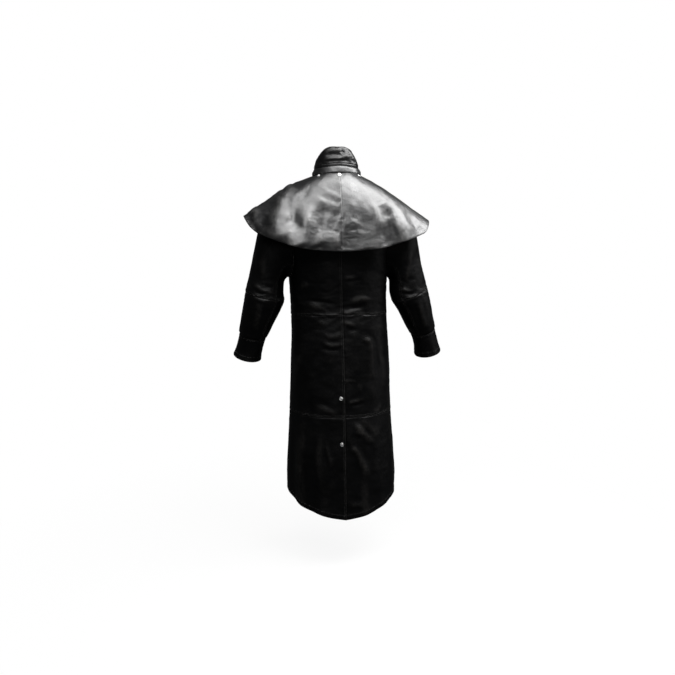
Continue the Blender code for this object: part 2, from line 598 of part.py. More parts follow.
for i, z in enumerate((-0.125, -0.255, -0.385, -0.515, -0.645, -0.775)):
    at, n = on_trunk(z, 0.0, False, 1, 2 * WALL + 3.7 * LAP)
    snap(f"front_snap_{i + 1}", at, n, SNAP_R, SNAP_H)


def on_cape(q, r, side, over):
    e = 1e-3
    p = cape(q, r, side)
    n = np.cross(cape(q + e, r, side) - cape(q - e, r, side), cape(q, r + e, side) - cape(q, r - e, side))
    n /= np.linalg.norm(n)
    if n[2] < 0:
        n = -n
    return p + n * over, n


for name, q, side in (("back", 0.0, 1), ("left", 0.50, 1), ("right", 0.50, -1), ("front_left", 1.72, 1), ("front_right", 1.72, -1)):
    at, n = on_cape(q, 0.055, side, WALL + LAP + 0.0006)
    snap(f"cape_snap_{name}", at, n, CAPE_SNAP_R, SNAP_H * 0.9)
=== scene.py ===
"""Looks of the leather duster coat: fine leather shells round the CAD frame, stitching, snaps, light and camera.

Metres, +Z up. The coat's back faces +Y and the wearer's left is +X. The first part repeats the coat's own curves,
so that every fine shell lies on its CAD solid. The second lays the folds, creases, seams and stitches on them.
"""

import math

import bmesh
import bpy
import numpy as np
from mathutils import Matrix, Vector


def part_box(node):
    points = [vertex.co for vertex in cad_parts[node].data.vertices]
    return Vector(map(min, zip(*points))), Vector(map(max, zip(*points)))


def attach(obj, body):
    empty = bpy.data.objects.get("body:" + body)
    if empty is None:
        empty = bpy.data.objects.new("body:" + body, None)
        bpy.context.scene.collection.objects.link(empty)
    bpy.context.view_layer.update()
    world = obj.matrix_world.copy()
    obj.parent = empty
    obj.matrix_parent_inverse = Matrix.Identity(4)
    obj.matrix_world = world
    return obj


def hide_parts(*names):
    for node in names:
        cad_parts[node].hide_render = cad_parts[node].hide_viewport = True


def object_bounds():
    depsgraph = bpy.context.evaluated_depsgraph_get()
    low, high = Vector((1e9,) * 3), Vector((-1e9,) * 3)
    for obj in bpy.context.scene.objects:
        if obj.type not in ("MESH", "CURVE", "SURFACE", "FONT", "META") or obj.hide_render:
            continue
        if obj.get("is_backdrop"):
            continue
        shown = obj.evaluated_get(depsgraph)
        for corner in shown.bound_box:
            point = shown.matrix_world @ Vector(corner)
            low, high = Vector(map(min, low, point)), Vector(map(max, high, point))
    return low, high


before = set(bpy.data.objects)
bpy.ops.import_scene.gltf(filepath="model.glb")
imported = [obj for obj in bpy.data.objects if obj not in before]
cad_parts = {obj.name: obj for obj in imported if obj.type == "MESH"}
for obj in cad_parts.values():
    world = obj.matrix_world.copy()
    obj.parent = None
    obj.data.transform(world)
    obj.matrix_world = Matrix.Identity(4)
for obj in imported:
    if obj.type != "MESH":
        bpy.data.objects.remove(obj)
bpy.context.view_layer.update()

# ---------------------------------------------------------------- driving dimensions
WALL = 0.0020  # leather and its backing
SEAM = 0.0003  # space between two pieces sewn edge to edge
LAP = 0.0004  # space between a piece and one laid on it
HEM_BACK = -1.306  # lowest point of the hem, at the centre back
HEM_SIDE = -1.226
HEM_FRONT = -1.238
KNEE = -0.905  # height of the knee seam at the centre back
WAIST = -0.508
ARMPIT = -0.376
SLEEVE_SEAM = math.radians(128)  # hindarm and forearm seams, from the top of the arm
PLACKET_HALF = 0.034  # half the width of the front placket
VENT_TOP = -0.764
UNDERLAP = 0.052  # reach of the vent's underlap past the centre back
SNAP_R = 0.0072
SNAP_H = 0.0030
CAPE_SNAP_R = 0.0062


# ---------------------------------------------------------------- curves
def smooth(x):
    x = np.clip(x, 0.0, 1.0)
    return x * x * (3 - 2 * x)


def run(keys, t):
    """Cubic curve through (t, value) keys with slopes from their neighbours. Values are numbers or vectors."""
    kt = np.array([k[0] for k in keys], float)
    kv = np.array([np.atleast_1d(np.asarray(k[1], float)) for k in keys])
    h = np.diff(kt)[:, None]
    d = np.diff(kv, axis=0) / h
    m = np.empty_like(kv)
    m[0], m[-1] = d[0], d[-1]
    if len(kt) > 2:
        m[1:-1] = (d[:-1] * h[1:] + d[1:] * h[:-1]) / (h[1:] + h[:-1])
    t = np.clip(np.asarray(t, float), kt[0], kt[-1])
    i = np.clip(np.searchsorted(kt, t, side="right") - 1, 0, len(kt) - 2)
    s = ((t - kt[i]) / (kt[i + 1] - kt[i]))[..., None]
    hh = (kt[i + 1] - kt[i])[..., None]
    a = (1 + 2 * s) * (1 - s) ** 2
    b = s * (1 - s) ** 2
    c = s * s * (3 - 2 * s)
    e = s * s * (s - 1)
    return a * kv[i] + b * hh * m[i] + c * kv[i + 1] + e * hh * m[i + 1]


def bezier(c0, c1, c2, c3, u):
    u = np.asarray(u, float)[..., None]
    return (1 - u) ** 3 * c0 + 3 * u * (1 - u) ** 2 * c1 + 3 * u * u * (1 - u) * c2 + u**3 * c3


# ---------------------------------------------------------------- trunk
# The body stands a little off its centre line: it drifts to the wearer's right towards the hem.
SWAY = [(-1.35, -0.0135), (-1.00, -0.0125), (-0.60, -0.0080), (-0.40, -0.0022), (-0.15, 0.0020), (0.02, 0.0042), (0.13, 0.0080)]

# Below the armpit a row is part of an oval: (t, height at centre, height at side, half width, depth)
BACK_ROWS = [
    (0.00, HEM_BACK, HEM_SIDE, 0.2130, 0.188),
    (0.30, -1.190, -1.140, 0.2145, 0.180),
    (0.60, -1.060, -1.040, 0.2090, 0.169),
    (1.00, KNEE, -0.900, 0.2000, 0.156),
    (1.35, -0.760, -0.760, 0.1960, 0.147),
    (1.70, -0.620, -0.620, 0.1900, 0.136),
    (2.00, WAIST, -0.520, 0.1858, 0.129),
    (2.50, -0.430, -0.445, 0.1870, 0.132),
    (3.00, -0.350, ARMPIT, 0.1900, 0.140),
]
FRONT_ROWS = [
    (0.00, HEM_FRONT, HEM_SIDE, 0.2130, -0.172),
    (0.30, -1.145, -1.140, 0.2145, -0.166),
    (0.60, -1.043, -1.040, 0.2090, -0.158),
    (1.00, -0.900, -0.900, 0.2000, -0.150),
    (1.35, -0.760, -0.760, 0.1960, -0.146),
    (1.70, -0.620, -0.620, 0.1900, -0.142),
    (2.00, -0.520, -0.520, 0.1858, -0.138),
    (2.50, -0.440, -0.445, 0.1870, -0.138),
    (3.00, -0.360, ARMPIT, 0.1900, -0.138),
]
# Above it a row runs from the centre line, and later the neckline, to the armhole.
# (t, start, first handle, last handle, end)
BACK_TOP = [
    (3.25, (0, 0.143, -0.290), (0.100, 0.146, -0.292), (0.181, 0.100, -0.345), (0.1835, 0.036, -0.364)),
    (3.50, (0, 0.145, -0.235), (0.094, 0.149, -0.240), (0.170, 0.112, -0.300), (0.1775, 0.060, -0.330)),
    (3.75, (0, 0.141, -0.170), (0.088, 0.147, -0.180), (0.160, 0.124, -0.245), (0.1765, 0.076, -0.285)),
    (4.00, (0, 0.128, -0.105), (0.080, 0.137, -0.120), (0.155, 0.125, -0.190), (0.1800, 0.080, -0.232)),
    (4.25, (0, 0.103, -0.048), (0.068, 0.116, -0.066), (0.154, 0.117, -0.143), (0.1870, 0.074, -0.180)),
    (4.50, (0, 0.078, 0.000), (0.060, 0.094, -0.022), (0.150, 0.096, -0.108), (0.1950, 0.058, -0.134)),
    (4.75, (0.056, 0.057, -0.003), (0.094, 0.062, -0.017), (0.155, 0.062, -0.072), (0.2020, 0.032, -0.098)),
    (5.00, (0.083, 0.004, -0.011), (0.120, 0.005, -0.027), (0.160, 0.004, -0.050), (0.2050, 0.000, -0.078)),
]
FRONT_TOP = [
    (3.25, (0, -0.141, -0.305), (0.098, -0.143, -0.307), (0.179, -0.098, -0.345), (0.1820, -0.034, -0.364)),
    (3.50, (0, -0.143, -0.260), (0.092, -0.146, -0.263), (0.166, -0.108, -0.302), (0.1735, -0.056, -0.330)),
    (3.75, (0, -0.141, -0.212), (0.085, -0.145, -0.218), (0.152, -0.118, -0.252), (0.1690, -0.070, -0.285)),
    (4.00, (0, -0.133, -0.165), (0.078, -0.139, -0.172), (0.145, -0.118, -0.202), (0.1710, -0.074, -0.232)),
    (4.25, (0, -0.119, -0.122), (0.066, -0.126, -0.128), (0.144, -0.110, -0.156), (0.1790, -0.068, -0.180)),
    (4.50, (0, -0.099, -0.082), (0.056, -0.110, -0.084), (0.142, -0.092, -0.114), (0.1900, -0.052, -0.134)),
    (4.75, (0.060, -0.064, -0.042), (0.096, -0.074, -0.048), (0.150, -0.058, -0.075), (0.1995, -0.027, -0.098)),
    (5.00, (0.083, 0.004, -0.011), (0.120, 0.005, -0.027), (0.160, 0.004, -0.050), (0.2050, 0.000, -0.078)),
]


# The neckline: what the centre line turns into above t 4.5
NECK_BACK = [(4.50, (0, 0.078, 0.000)), (4.60, (0.029, 0.0750, -0.0005)), (4.75, (0.057, 0.0575, -0.003)), (5.00, (0.083, 0.004, -0.011))]
NECK_FRONT = [(4.50, (0, -0.099, -0.082)), (4.60, (0.028, -0.0905, -0.069)), (4.75, (0.060, -0.0645, -0.042)), (5.00, (0.083, 0.004, -0.011))]


def oval(row):
    """Bezier handles of a quarter of an oval from its row of sizes."""
    t, zc, zs, a, b = row
    zh = zc + (zs - zc) * 0.16
    zg = zs + (zc - zs) * 0.30
    return (t, (0, b, zc), (a * 0.60, b, zh), (a, b * 0.60, zg), (a, 0, zs))


def tracks(low, top, neckline):
    """The four Bezier points as curves in t, cut at the armpit, where the armhole starts square.

    The first is cut again at t 4.5, where the centre line meets the neckline.
    """
    lows = [oval(r) for r in low]
    tops = [lows[-1]] + list(top)
    out = []
    for k in range(1, 5):
        cuts = (0.0, 3.0, 4.5, 5.0) if k == 1 else (0.0, 3.0, 5.0)
        keys = [(r[0], r[k]) for r in lows + tops[1:]]
        out.append([(a, b, [q for q in keys if a <= q[0] <= b]) for a, b in zip(cuts, cuts[1:])])
    out[0][2] = (4.5, 5.0, neckline)
    return out


BACK, FRONT = tracks(BACK_ROWS, BACK_TOP, NECK_BACK), tracks(FRONT_ROWS, FRONT_TOP, NECK_FRONT)


def trunk(t, u, back, side):
    """Inner face of the trunk. u is 0 at the centre and 1 at the side or armhole; side is 1 left, -1 right."""
    t, u = np.broadcast_arrays(np.asarray(t, float), np.asarray(u, float))
    pts = []
    for pieces in BACK if back else FRONT:
        p = run(pieces[0][2], t)
        for a, _, keys in pieces[1:]:
            p = np.where((t > a)[..., None], run(keys, t), p)
        pts.append(p)
    p = bezier(*pts, np.abs(u))
    p[..., 0] *= np.where(u < 0, -side, side)
    p[..., 0] += run(SWAY, p[..., 2])[..., 0]
    return p


def trunk_normal(t, u, back, side):
    e = 1e-4
    d = trunk(t, u + e, back, side) - trunk(t, u - e, back, side)
    up = trunk(t + e, u, back, side) - trunk(t - e, u, back, side)
    n = np.cross(d, up)
    n /= np.linalg.norm(n, axis=-1, keepdims=True) + 1e-12
    s = np.sign(n[..., 1] * (1 if back else -1) + 1e-9)[..., None]
    return n * s


def t_at(z, back, lo=0.0, hi=4.4):
    """The row whose centre point is at height z."""
    for _ in range(50):
        mid = (lo + hi) / 2
        if trunk(mid, 0.0, back, 1)[2] < z:
            lo = mid
        else:
            hi = mid
    return (lo + hi) / 2


def u_at(t, x, back):
    """The place along a row whose distance from the centre line is x."""
    lo, hi = 0.0, 1.0
    base = trunk(t, 0.0, back, 1)[0]
    for _ in range(40):
        mid = (lo + hi) / 2
        if trunk(t, mid, back, 1)[0] - base < x:
            lo = mid
        else:
            hi = mid
    return (lo + hi) / 2


# ---------------------------------------------------------------- sleeves
# (s, centre x, centre y, centre z, half width, half depth, lean of the arm from vertical, forward lean), degrees
ARM_LEFT = [
    (1.0, 0.2448, 0.000, -0.2692, 0.1134, 0.0830, 63, 0),
    (2.0, 0.2720, 0.003, -0.3560, 0.0710, 0.0760, 27, 1),
    (3.0, 0.2830, 0.006, -0.4150, 0.0720, 0.0750, 13, 2),
    (4.0, 0.2860, 0.008, -0.4500, 0.0770, 0.0750, 11, 3),
    (5.0, 0.2985, 0.006, -0.4900, 0.0720, 0.0710, 12, 6),
    (6.0, 0.3170, -0.003, -0.5450, 0.0640, 0.0650, 14, 9),
    (7.0, 0.3290, -0.011, -0.5830, 0.0590, 0.0600, 13, 11),
    (7.4, 0.3330, -0.013, -0.5950, 0.0565, 0.0580, 13, 11),
    (8.0, 0.3350, -0.014, -0.6030, 0.0520, 0.0540, 12, 11),
    (8.5, 0.3450, -0.021, -0.6440, 0.0510, 0.0530, 12, 12),
    (9.0, 0.3550, -0.027, -0.6810, 0.0535, 0.0545, 12, 13),
    (9.2, 0.3570, -0.028, -0.6885, 0.0555, 0.0565, 12, 13),
]
ARM_RIGHT = [
    (1.0, 0.2436, 0.000, -0.2733, 0.1123, 0.0830, 62, 0),
    (2.0, 0.2685, 0.003, -0.3600, 0.0705, 0.0750, 26, 1),
    (3.0, 0.2780, 0.006, -0.4180, 0.0735, 0.0750, 15, 2),
    (4.0, 0.2890, 0.008, -0.4550, 0.0735, 0.0745, 16, 3),
    (5.0, 0.3070, 0.006, -0.4950, 0.0660, 0.0695, 19, 6),
    (6.0, 0.3280, -0.003, -0.5520, 0.0580, 0.0640, 20, 9),
    (7.0, 0.3410, -0.011, -0.5800, 0.0540, 0.0590, 19, 11),
    (7.4, 0.3450, -0.013, -0.5900, 0.0525, 0.0570, 18, 11),
    (8.0, 0.3475, -0.014, -0.5970, 0.0490, 0.0535, 17, 11),
    (8.5, 0.3600, -0.021, -0.6400, 0.0485, 0.0525, 15, 12),
    (9.0, 0.3690, -0.027, -0.6790, 0.0515, 0.0540, 13, 13),
    (9.2, 0.3710, -0.028, -0.6865, 0.0535, 0.0560, 13, 13),
]
ELBOW = {1: (3.85, 0.04), -1: (3.78, 0.26)}  # the elbow seam: its place along the arm, and how far its outer side rises


def elbow(phi, side):
    mid, rise = ELBOW[side]
    return mid - rise * np.cos(phi)


def armhole(phi, side, out):
    """The armhole at angle phi round the arm: 0 at the shoulder, pi at the armpit, positive to the back."""
    phi = np.asarray(phi, float)
    t = 5.0 - 2.0 * np.abs(phi) / math.pi
    one = np.ones_like(t)
    b = trunk(t, one, True, side)
    f = trunk(t, one, False, side)
    return np.where((phi >= 0)[..., None], b, f) + np.array([side * out, 0, 0])


def arm_ring(row, phi, side):
    _, x, y, z, w, d, lean, fore = row
    a, b = math.radians(lean), math.radians(fore)
    lat = np.array([side * math.cos(a), 0.0, math.sin(a)])
    axis = np.array([side * math.sin(a), -math.sin(b), -math.cos(a)])
    axis /= np.linalg.norm(axis)
    dep = np.cross(axis, lat) * side
    dep /= np.linalg.norm(dep)
    if dep[1] < 0:
        dep = -dep
    lat = np.cross(dep, axis)
    lat *= np.sign(lat[0]) * side
    c = np.array([side * x, y, z])
    phi = np.asarray(phi, float)[..., None]
    return c + w * np.cos(phi) * lat + d * np.sin(phi) * dep


def sleeve(s, phi, side):
    """Outer face of a sleeve; s is 0 at the armhole and 9.2 at the end of the cuff."""
    rows = ARM_LEFT if side > 0 else ARM_RIGHT
    s, phi = np.broadcast_arrays(np.asarray(s, float), np.asarray(phi, float))
    kt = np.array([0.0] + [r[0] for r in rows])
    lift = WALL * 1.3 * np.cos(phi) ** 2 + 0.0024
    first = armhole(phi, side, 0.0)
    first[..., 0] += side * lift
    first[..., 2] += WALL * 1.1 * np.maximum(np.cos(phi), 0.0)
    kv = np.stack([first] + [arm_ring(r, phi, side) for r in rows])
    h = np.diff(kt)
    d = np.diff(kv, axis=0) / h[:, None, None] if phi.ndim == 1 else np.diff(kv, axis=0) / h[:, None, None, None]
    m = np.empty_like(kv)
    m[0], m[-1] = d[0], d[-1]
    for i in range(1, len(kt) - 1):
        m[i] = (d[i - 1] * h[i] + d[i] * h[i - 1]) / (h[i] + h[i - 1])
    i = np.clip(np.searchsorted(kt, s, side="right") - 1, 0, len(kt) - 2)
    q = ((s - kt[i]) / h[i])[..., None]
    grid = np.indices(s.shape)
    pick = lambda a, j: a[(j, *grid)]
    hh = h[i][..., None]
    return (
        (1 + 2 * q) * (1 - q) ** 2 * pick(kv, i)
        + q * (1 - q) ** 2 * hh * pick(m, i)
        + q * q * (3 - 2 * q) * pick(kv, i + 1)
        + q * q * (q - 1) * hh * pick(m, i + 1)
    )


# ---------------------------------------------------------------- cape
# Rays of the cape: (q, neck, first handle, last handle, hem). q is 0 centre back, 1 shoulder, 2 front edge.
CAPE = [
    (0.0, (0.000, 0.0900, 0.024), (0.000, 0.130, -0.014), (0.000, 0.170, -0.140), (0.000, 0.187, -0.262)),
    (0.2, (0.030, 0.0860, 0.023), (0.046, 0.126, -0.014), (0.078, 0.167, -0.138), (0.085, 0.185, -0.258)),
    (0.4, (0.057, 0.0740, 0.020), (0.092, 0.112, -0.012), (0.148, 0.158, -0.128), (0.166, 0.175, -0.247)),
    (0.6, (0.077, 0.0530, 0.016), (0.132, 0.088, -0.010), (0.216, 0.138, -0.110), (0.248, 0.151, -0.222)),
    (0.8, (0.089, 0.0280, 0.012), (0.158, 0.046, -0.016), (0.264, 0.080, -0.089), (0.325, 0.098, -0.187)),
    (1.0, (0.094, 0.0000, 0.010), (0.165, 0.002, -0.015), (0.275, 0.004, -0.077), (0.360, 0.006, -0.138)),
    (1.2, (0.092, -0.0300, 0.002), (0.158, -0.045, -0.022), (0.266, -0.072, -0.093), (0.330, -0.088, -0.188)),
    (1.4, (0.083, -0.0570, -0.014), (0.136, -0.088, -0.036), (0.226, -0.130, -0.126), (0.264, -0.142, -0.236)),
    (1.6, (0.067, -0.0800, -0.034), (0.106, -0.118, -0.062), (0.166, -0.164, -0.158), (0.188, -0.176, -0.266)),
    (1.8, (0.047, -0.0970, -0.054), (0.076, -0.136, -0.088), (0.112, -0.180, -0.182), (0.122, -0.190, -0.284)),
    (2.0, (0.026, -0.1080, -0.071), (0.042, -0.144, -0.106), (0.058, -0.184, -0.196), (0.062, -0.194, -0.284)),
]


def cape(q, r, side):
    """Inner face of the cape, from the neck (r 0) to the hem (r 1)."""
    q, r = np.broadcast_arrays(np.asarray(q, float), np.asarray(r, float))
    pts = [run([(k[0], k[i]) for k in CAPE], q) for i in range(1, 5)]
    p = bezier(*pts, r)
    out = np.abs(p[..., 0])
    # soft folds of the hanging leather, deepest at the hem
    for at, width, deep in ((0.20, 0.055, -0.006), (0.36, 0.060, 0.008), (0.50, 0.05, -0.006), (0.74, 0.06, -0.012), (1.30, 0.07, -0.008), (1.62, 0.07, 0.006)):
        w = deep * np.exp(-(((q - at) / width) ** 2)) * smooth((r - 0.35) / 0.6)
        p[..., 1] += w * np.where(q < 1, 1.0, -1.0)
    if side < 0:
        p[..., 2] -= 0.022 * smooth((out - 0.08) / 0.26) * np.exp(-(((q - 1.0) / 0.32) ** 2))
    p[..., 0] *= side
    p[..., 0] += run(SWAY, p[..., 2])[..., 0]
    return p


# ---------------------------------------------------------------- collar
# Rings round the neck: (angle from the centre back in degrees, x, y, z)
def ring(keys, theta):
    """A ring through keys for the wearer's left, mirrored for the right."""
    theta = np.asarray(theta, float)
    before = (-keys[1][0], -keys[1][1], *keys[1][2:])
    after = (360 - keys[-2][0], -keys[-2][1], *keys[-2][2:])
    p = run([(math.radians(k[0]), k[1:]) for k in (before, *keys, after)], np.abs(theta))
    p[..., 0] *= np.where(theta < 0, -1.0, 1.0)
    return p


STAND_TOP = [(0, 0.000, 0.0815, 0.060), (45, 0.0605, 0.0560, 0.055), (90, 0.0822, -0.0020, 0.042), (135, 0.0590, -0.066, 0.004), (180, 0.000, -0.0975, -0.034)]
FALL_MID = [(0, 0.000, 0.0775, 0.088), (45, 0.0580, 0.0530, 0.082), (90, 0.0765, -0.0035, 0.066), (135, 0.0590, -0.069, 0.032), (180, 0.000, -0.1020, 0.006)]
FALL_TOP = [(0, 0.000, 0.0640, 0.1205), (26, 0.0270, 0.0570, 0.1200), (50, 0.0470, 0.0380, 0.1110), (90, 0.0600, -0.0060, 0.088), (135, 0.0510, -0.069, 0.062), (180, 0.000, -0.1030, 0.046)]
BAND_LOW = [(0, 0.000, 0.0915, 0.0262), (45, 0.0650, 0.0658, 0.0200), (90, 0.0905, 0.0000, 0.0125), (135, 0.0650, -0.078, -0.0300), (180, 0.000, -0.1120, -0.0660)]
BAND_TOP = [(0, 0.000, 0.0870, 0.0500), (45, 0.0620, 0.0615, 0.0430), (90, 0.0872, -0.0005, 0.0330), (135, 0.0622, -0.0755, -0.0080), (180, 0.000, -0.1090, -0.0440)]


def neck(theta):
    """The top edge of the trunk round the neck, raised to clear the trunk's thickness."""
    theta = np.asarray(theta, float)
    q = np.abs(theta) / (math.pi / 2)
    back = q <= 1
    t = np.where(back, 4.5 + 0.5 * q, 5.5 - 0.5 * q)
    side = np.where(theta < 0, -1.0, 1.0)
    zero = np.full(t.shape, 1e-3)
    p = np.where(back[..., None], trunk(t, zero, True, side), trunk(t, zero, False, side))
    p[..., 2] += WALL + 2 * LAP
    return p


def collar(theta, v):
    """Inner face of the upright collar: v is 0 at the neck, 0.45 at the seam between stand and fall, 1 at the top."""
    theta, v = np.broadcast_arrays(np.asarray(theta, float), np.asarray(v, float))
    rings = [neck(theta)]
    for keys in (STAND_TOP, FALL_MID, FALL_TOP):
        p = ring(keys, theta)
        p[..., 0] += run(SWAY, p[..., 2])[..., 0]
        rings.append(p)
    kt = [0.0, 0.45, 0.72, 1.0]
    out = np.zeros_like(rings[0])
    for k in range(len(kt)):
        # cubic through the four rings
        w = np.ones_like(v)
        for j in range(len(kt)):
            if j != k:
                w = w * (v - kt[j]) / (kt[k] - kt[j])
        out = out + w[..., None] * rings[k]
    return out


def between(low, top, theta, v, bulge):
    p = ring(low, theta) * (1 - v)[..., None] + ring(top, theta) * v[..., None]
    out = np.stack([np.sin(theta), np.cos(theta), np.zeros_like(theta)], -1)
    p = p + out * (bulge * 4 * v * (1 - v))[..., None]
    p[..., 0] += run(SWAY, p[..., 2])[..., 0]
    return p


# ---------------------------------------------------------------- noise
def lattice(p, scale, seed):
    """Smooth gradient noise, about -1 to 1, with features of about `scale` metres; p is (..., 3), scale may be three sizes."""
    q = np.asarray(p, float) / np.asarray(scale, float) + np.array([17.31, 5.77, 11.13]) * (seed + 1)
    i = np.floor(q).astype(np.int64)
    f = q - i
    w = f * f * f * (f * (f * 6 - 15) + 10)
    total = np.zeros(q.shape[:-1])
    for dx in (0, 1):
        for dy in (0, 1):
            for dz in (0, 1):
                h = (i[..., 0] + dx) * 73856093 ^ (i[..., 1] + dy) * 19349663 ^ (i[..., 2] + dz) * 83492791 ^ (seed * 2654435 + 977)
                h = (h ^ (h >> 13)) * 1274126177 & 0x7FFFFFFF
                a = (h & 1023) / 1023.0 * 2 * math.pi
                c = ((h >> 10) & 1023) / 511.5 - 1
                s = np.sqrt(np.maximum(1 - c * c, 0))
                dot = s * np.cos(a) * (f[..., 0] - dx) + s * np.sin(a) * (f[..., 1] - dy) + c * (f[..., 2] - dz)
                total += dot * (w[..., 0] if dx else 1 - w[..., 0]) * (w[..., 1] if dy else 1 - w[..., 1]) * (w[..., 2] if dz else 1 - w[..., 2])
    return total * 1.6


def bump(x):
    return np.exp(-np.minimum(x * x, 30.0))


# ---------------------------------------------------------------- grids
EDGE = np.array([0.0, 0.0006, 0.0014, 0.0026, 0.0045, 0.0075, 0.0115])


def surface_normals(p, inside):
    """Unit normals of a grid of points, pointing away from a point inside the coat."""
    n = np.cross(np.gradient(p, axis=0), np.gradient(p, axis=1))
    n /= np.linalg.norm(n, axis=-1, keepdims=True) + 1e-15
    if np.sum(n * (p - inside)) < 0:
        n = -n
    return n


def respace(g, pitch, fine=(True, True)):
    """Respaces a grid along its first direction at about pitch, with closer lines by its ends.

    Two channels are added: the distance from each end along the line.
    """
    d = np.linalg.norm(np.diff(g[..., :3], axis=0), axis=-1)
    s = np.concatenate([np.zeros((1, g.shape[1])), np.cumsum(d, 0)])
    length = s[-1]
    head = EDGE if fine[0] else EDGE[:1]
    tail = EDGE if fine[1] else EDGE[:1]
    free = length - head[-1] - tail[-1]
    n = max(int(round(np.median(free) / pitch)), 3)
    mid = np.linspace(0, 1, n + 1)[1:-1, None]
    want = np.concatenate([head[:, None] + 0 * length, head[-1] + free * mid, length - tail[::-1, None]])
    out = np.empty((want.shape[0], g.shape[1], g.shape[2] + 2))
    for j in range(g.shape[1]):
        k = np.clip(np.searchsorted(s[:, j], want[:, j], side="right") - 1, 0, g.shape[0] - 2)
        f = ((want[:, j] - s[k, j]) / (s[k + 1, j] - s[k, j] + 1e-15))[:, None]
        out[:, j, :-2] = g[k, j] * (1 - f) + g[k + 1, j] * f
    out[..., -2] = want
    out[..., -1] = length - want
    return out


def fine_grid(points, inside, pitch, fine_a=(True, True), fine_b=(True, True)):
    """A dense grid of outer-face points respaced both ways: channels 0-2 point, 3-5 normal, 6-7 along b, 8-9 along a."""
    g = np.concatenate([points, surface_normals(points, inside)], -1)
    g = respace(g.transpose(1, 0, 2), pitch, fine_b).transpose(1, 0, 2)
    g = respace(g, pitch, fine_a)
    g[..., 3:6] /= np.linalg.norm(g[..., 3:6], axis=-1, keepdims=True)
    return g


# ---------------------------------------------------------------- folds and creases
class Creases:
    """Soft folds laid on a surface. Each is a line of (x, z) points on the back or the front.

    kind ridge: raised by `high` along the line. kind fold: raised on its right side and sunk on its left, by `high`.
    """

    def __init__(self, grids):
        pts = np.concatenate([g[..., :6].reshape(-1, 6) for g in grids])
        self.face = {"back": pts[pts[:, 4] > 0.02], "front": pts[pts[:, 4] < -0.02], "all": pts}
        self.lines = []

    def lay(self, face, line, width, high, kind="ridge", width_end=None, fade=(0.35, 0.35)):
        cloud = self.face[face]
        line = np.array(line, float)
        k = np.arange(len(line))
        steps = np.linspace(0, len(line) - 1, (len(line) - 1) * 6 + 1)
        line = run([(a, b) for a, b in zip(k, line)], steps) if len(line) > 2 else np.stack([np.interp(steps, k, line[:, c]) for c in (0, 1)], -1)
        near = np.argmin((cloud[None, :, 0] - line[:, None, 0]) ** 2 + (cloud[None, :, 2] - line[:, None, 1]) ** 2, axis=1)
        p = np.stack([line[:, 0], cloud[near, 1], line[:, 1]], -1)
        share = np.linspace(0, 1, len(p))
        fall = smooth(share / max(fade[0], 1e-6)) * smooth((1 - share) / max(fade[1], 1e-6))
        w = np.linspace(width, width if width_end is None else width_end, len(p))
        self.lines.append((p, w, high * fall, kind))

    def height(self, pts, normals):
        """Height of all the folds at points (n, 3)."""
        total = np.zeros(len(pts))
        for p, w, high, kind in self.lines:
            reach = w.max() * 3.2
            box = np.all((pts > p.min(0) - reach) & (pts < p.max(0) + reach), axis=1)
            idx = np.nonzero(box)[0]
            if not len(idx):
                continue
            q = pts[idx]
            a, b = p[:-1], p[1:]
            ab = b - a
            t = np.einsum("nkc,kc->nk", q[:, None, :] - a[None], ab) / (np.einsum("kc,kc->k", ab, ab) + 1e-12)
            t = np.clip(t, 0, 1)
            c = a[None] + ab[None] * t[..., None]
            d2 = np.sum((q[:, None, :] - c) ** 2, -1)
            k = np.argmin(d2, 1)
            r = np.arange(len(q))
            tk = t[r, k]
            wide = w[k] * (1 - tk) + w[k + 1] * tk
            h = high[k] * (1 - tk) + high[k + 1] * tk
            if kind == "ridge":
                total[idx] += h * bump(np.sqrt(d2[r, k]) / wide)
            else:
                across = np.cross(ab[k], normals[idx])
                across /= np.linalg.norm(across, axis=1, keepdims=True) + 1e-12
                x = np.sum((q - c[r, k]) * across, 1) / wide
                total[idx] += h * 1.6 * x * bump(np.sqrt(d2[r, k]) / wide)
        return total


# ---------------------------------------------------------------- seams and edges
def groove(d, at, wide=0.0007):
    return bump((d - at) / wide)


def border(kind, d, along, seed):
    """Height near a border: d is the distance from it and along the place on it."""
    if kind is None:
        return 0.0 * d
    if kind.startswith("soft_"):
        return 0.45 * border(kind[5:], d, along, seed)
    if kind == "under":
        return -0.0013 * (1 - smooth(d / 0.0035))
    w = np.stack([along, d * 0.35, np.full_like(d, seed * 0.71)], -1)
    pucker = lattice(w, (0.011, 0.011, 0.2), seed) * bump((d - 0.006) / 0.013)
    if kind == "over":
        h = 0.00055 * (1 - smooth((d - 0.0085) / 0.005)) - 0.0013 * (1 - smooth(d / 0.0026))
        return h - 0.00028 * groove(d, 0.0036) - 0.00028 * groove(d, 0.0092) + 0.00045 * pucker
    if kind == "hem":
        h = 0.0007 * (1 - smooth((d - 0.020) / 0.004)) - 0.0010 * (1 - smooth(d / 0.0024))
        return h - 0.00035 * groove(d, 0.0185, 0.0009) + 0.0005 * pucker
    if kind == "edge":
        h = 0.0006 * (1 - smooth((d - 0.0065) / 0.0035)) - 0.0010 * (1 - smooth(d / 0.0022))
        return h - 0.00030 * groove(d, 0.0052) + 0.00035 * pucker
    return -0.0006 * (1 - smooth(d / 0.0016))  # plain cut edge


STITCH_AT = {"over": (0.0036, 0.0092), "soft_over": (0.0036,), "hem": (0.0185,), "edge": (0.0052,), "under": (), "soft_under": (), "plain": (), None: ()}

# ---------------------------------------------------------------- making pieces
coat = bpy.data.collections.new("coat_looks")
bpy.context.scene.collection.children.link(coat)
BUILT = {}  # finished outer grids: name -> (points, normals, distances, borders)


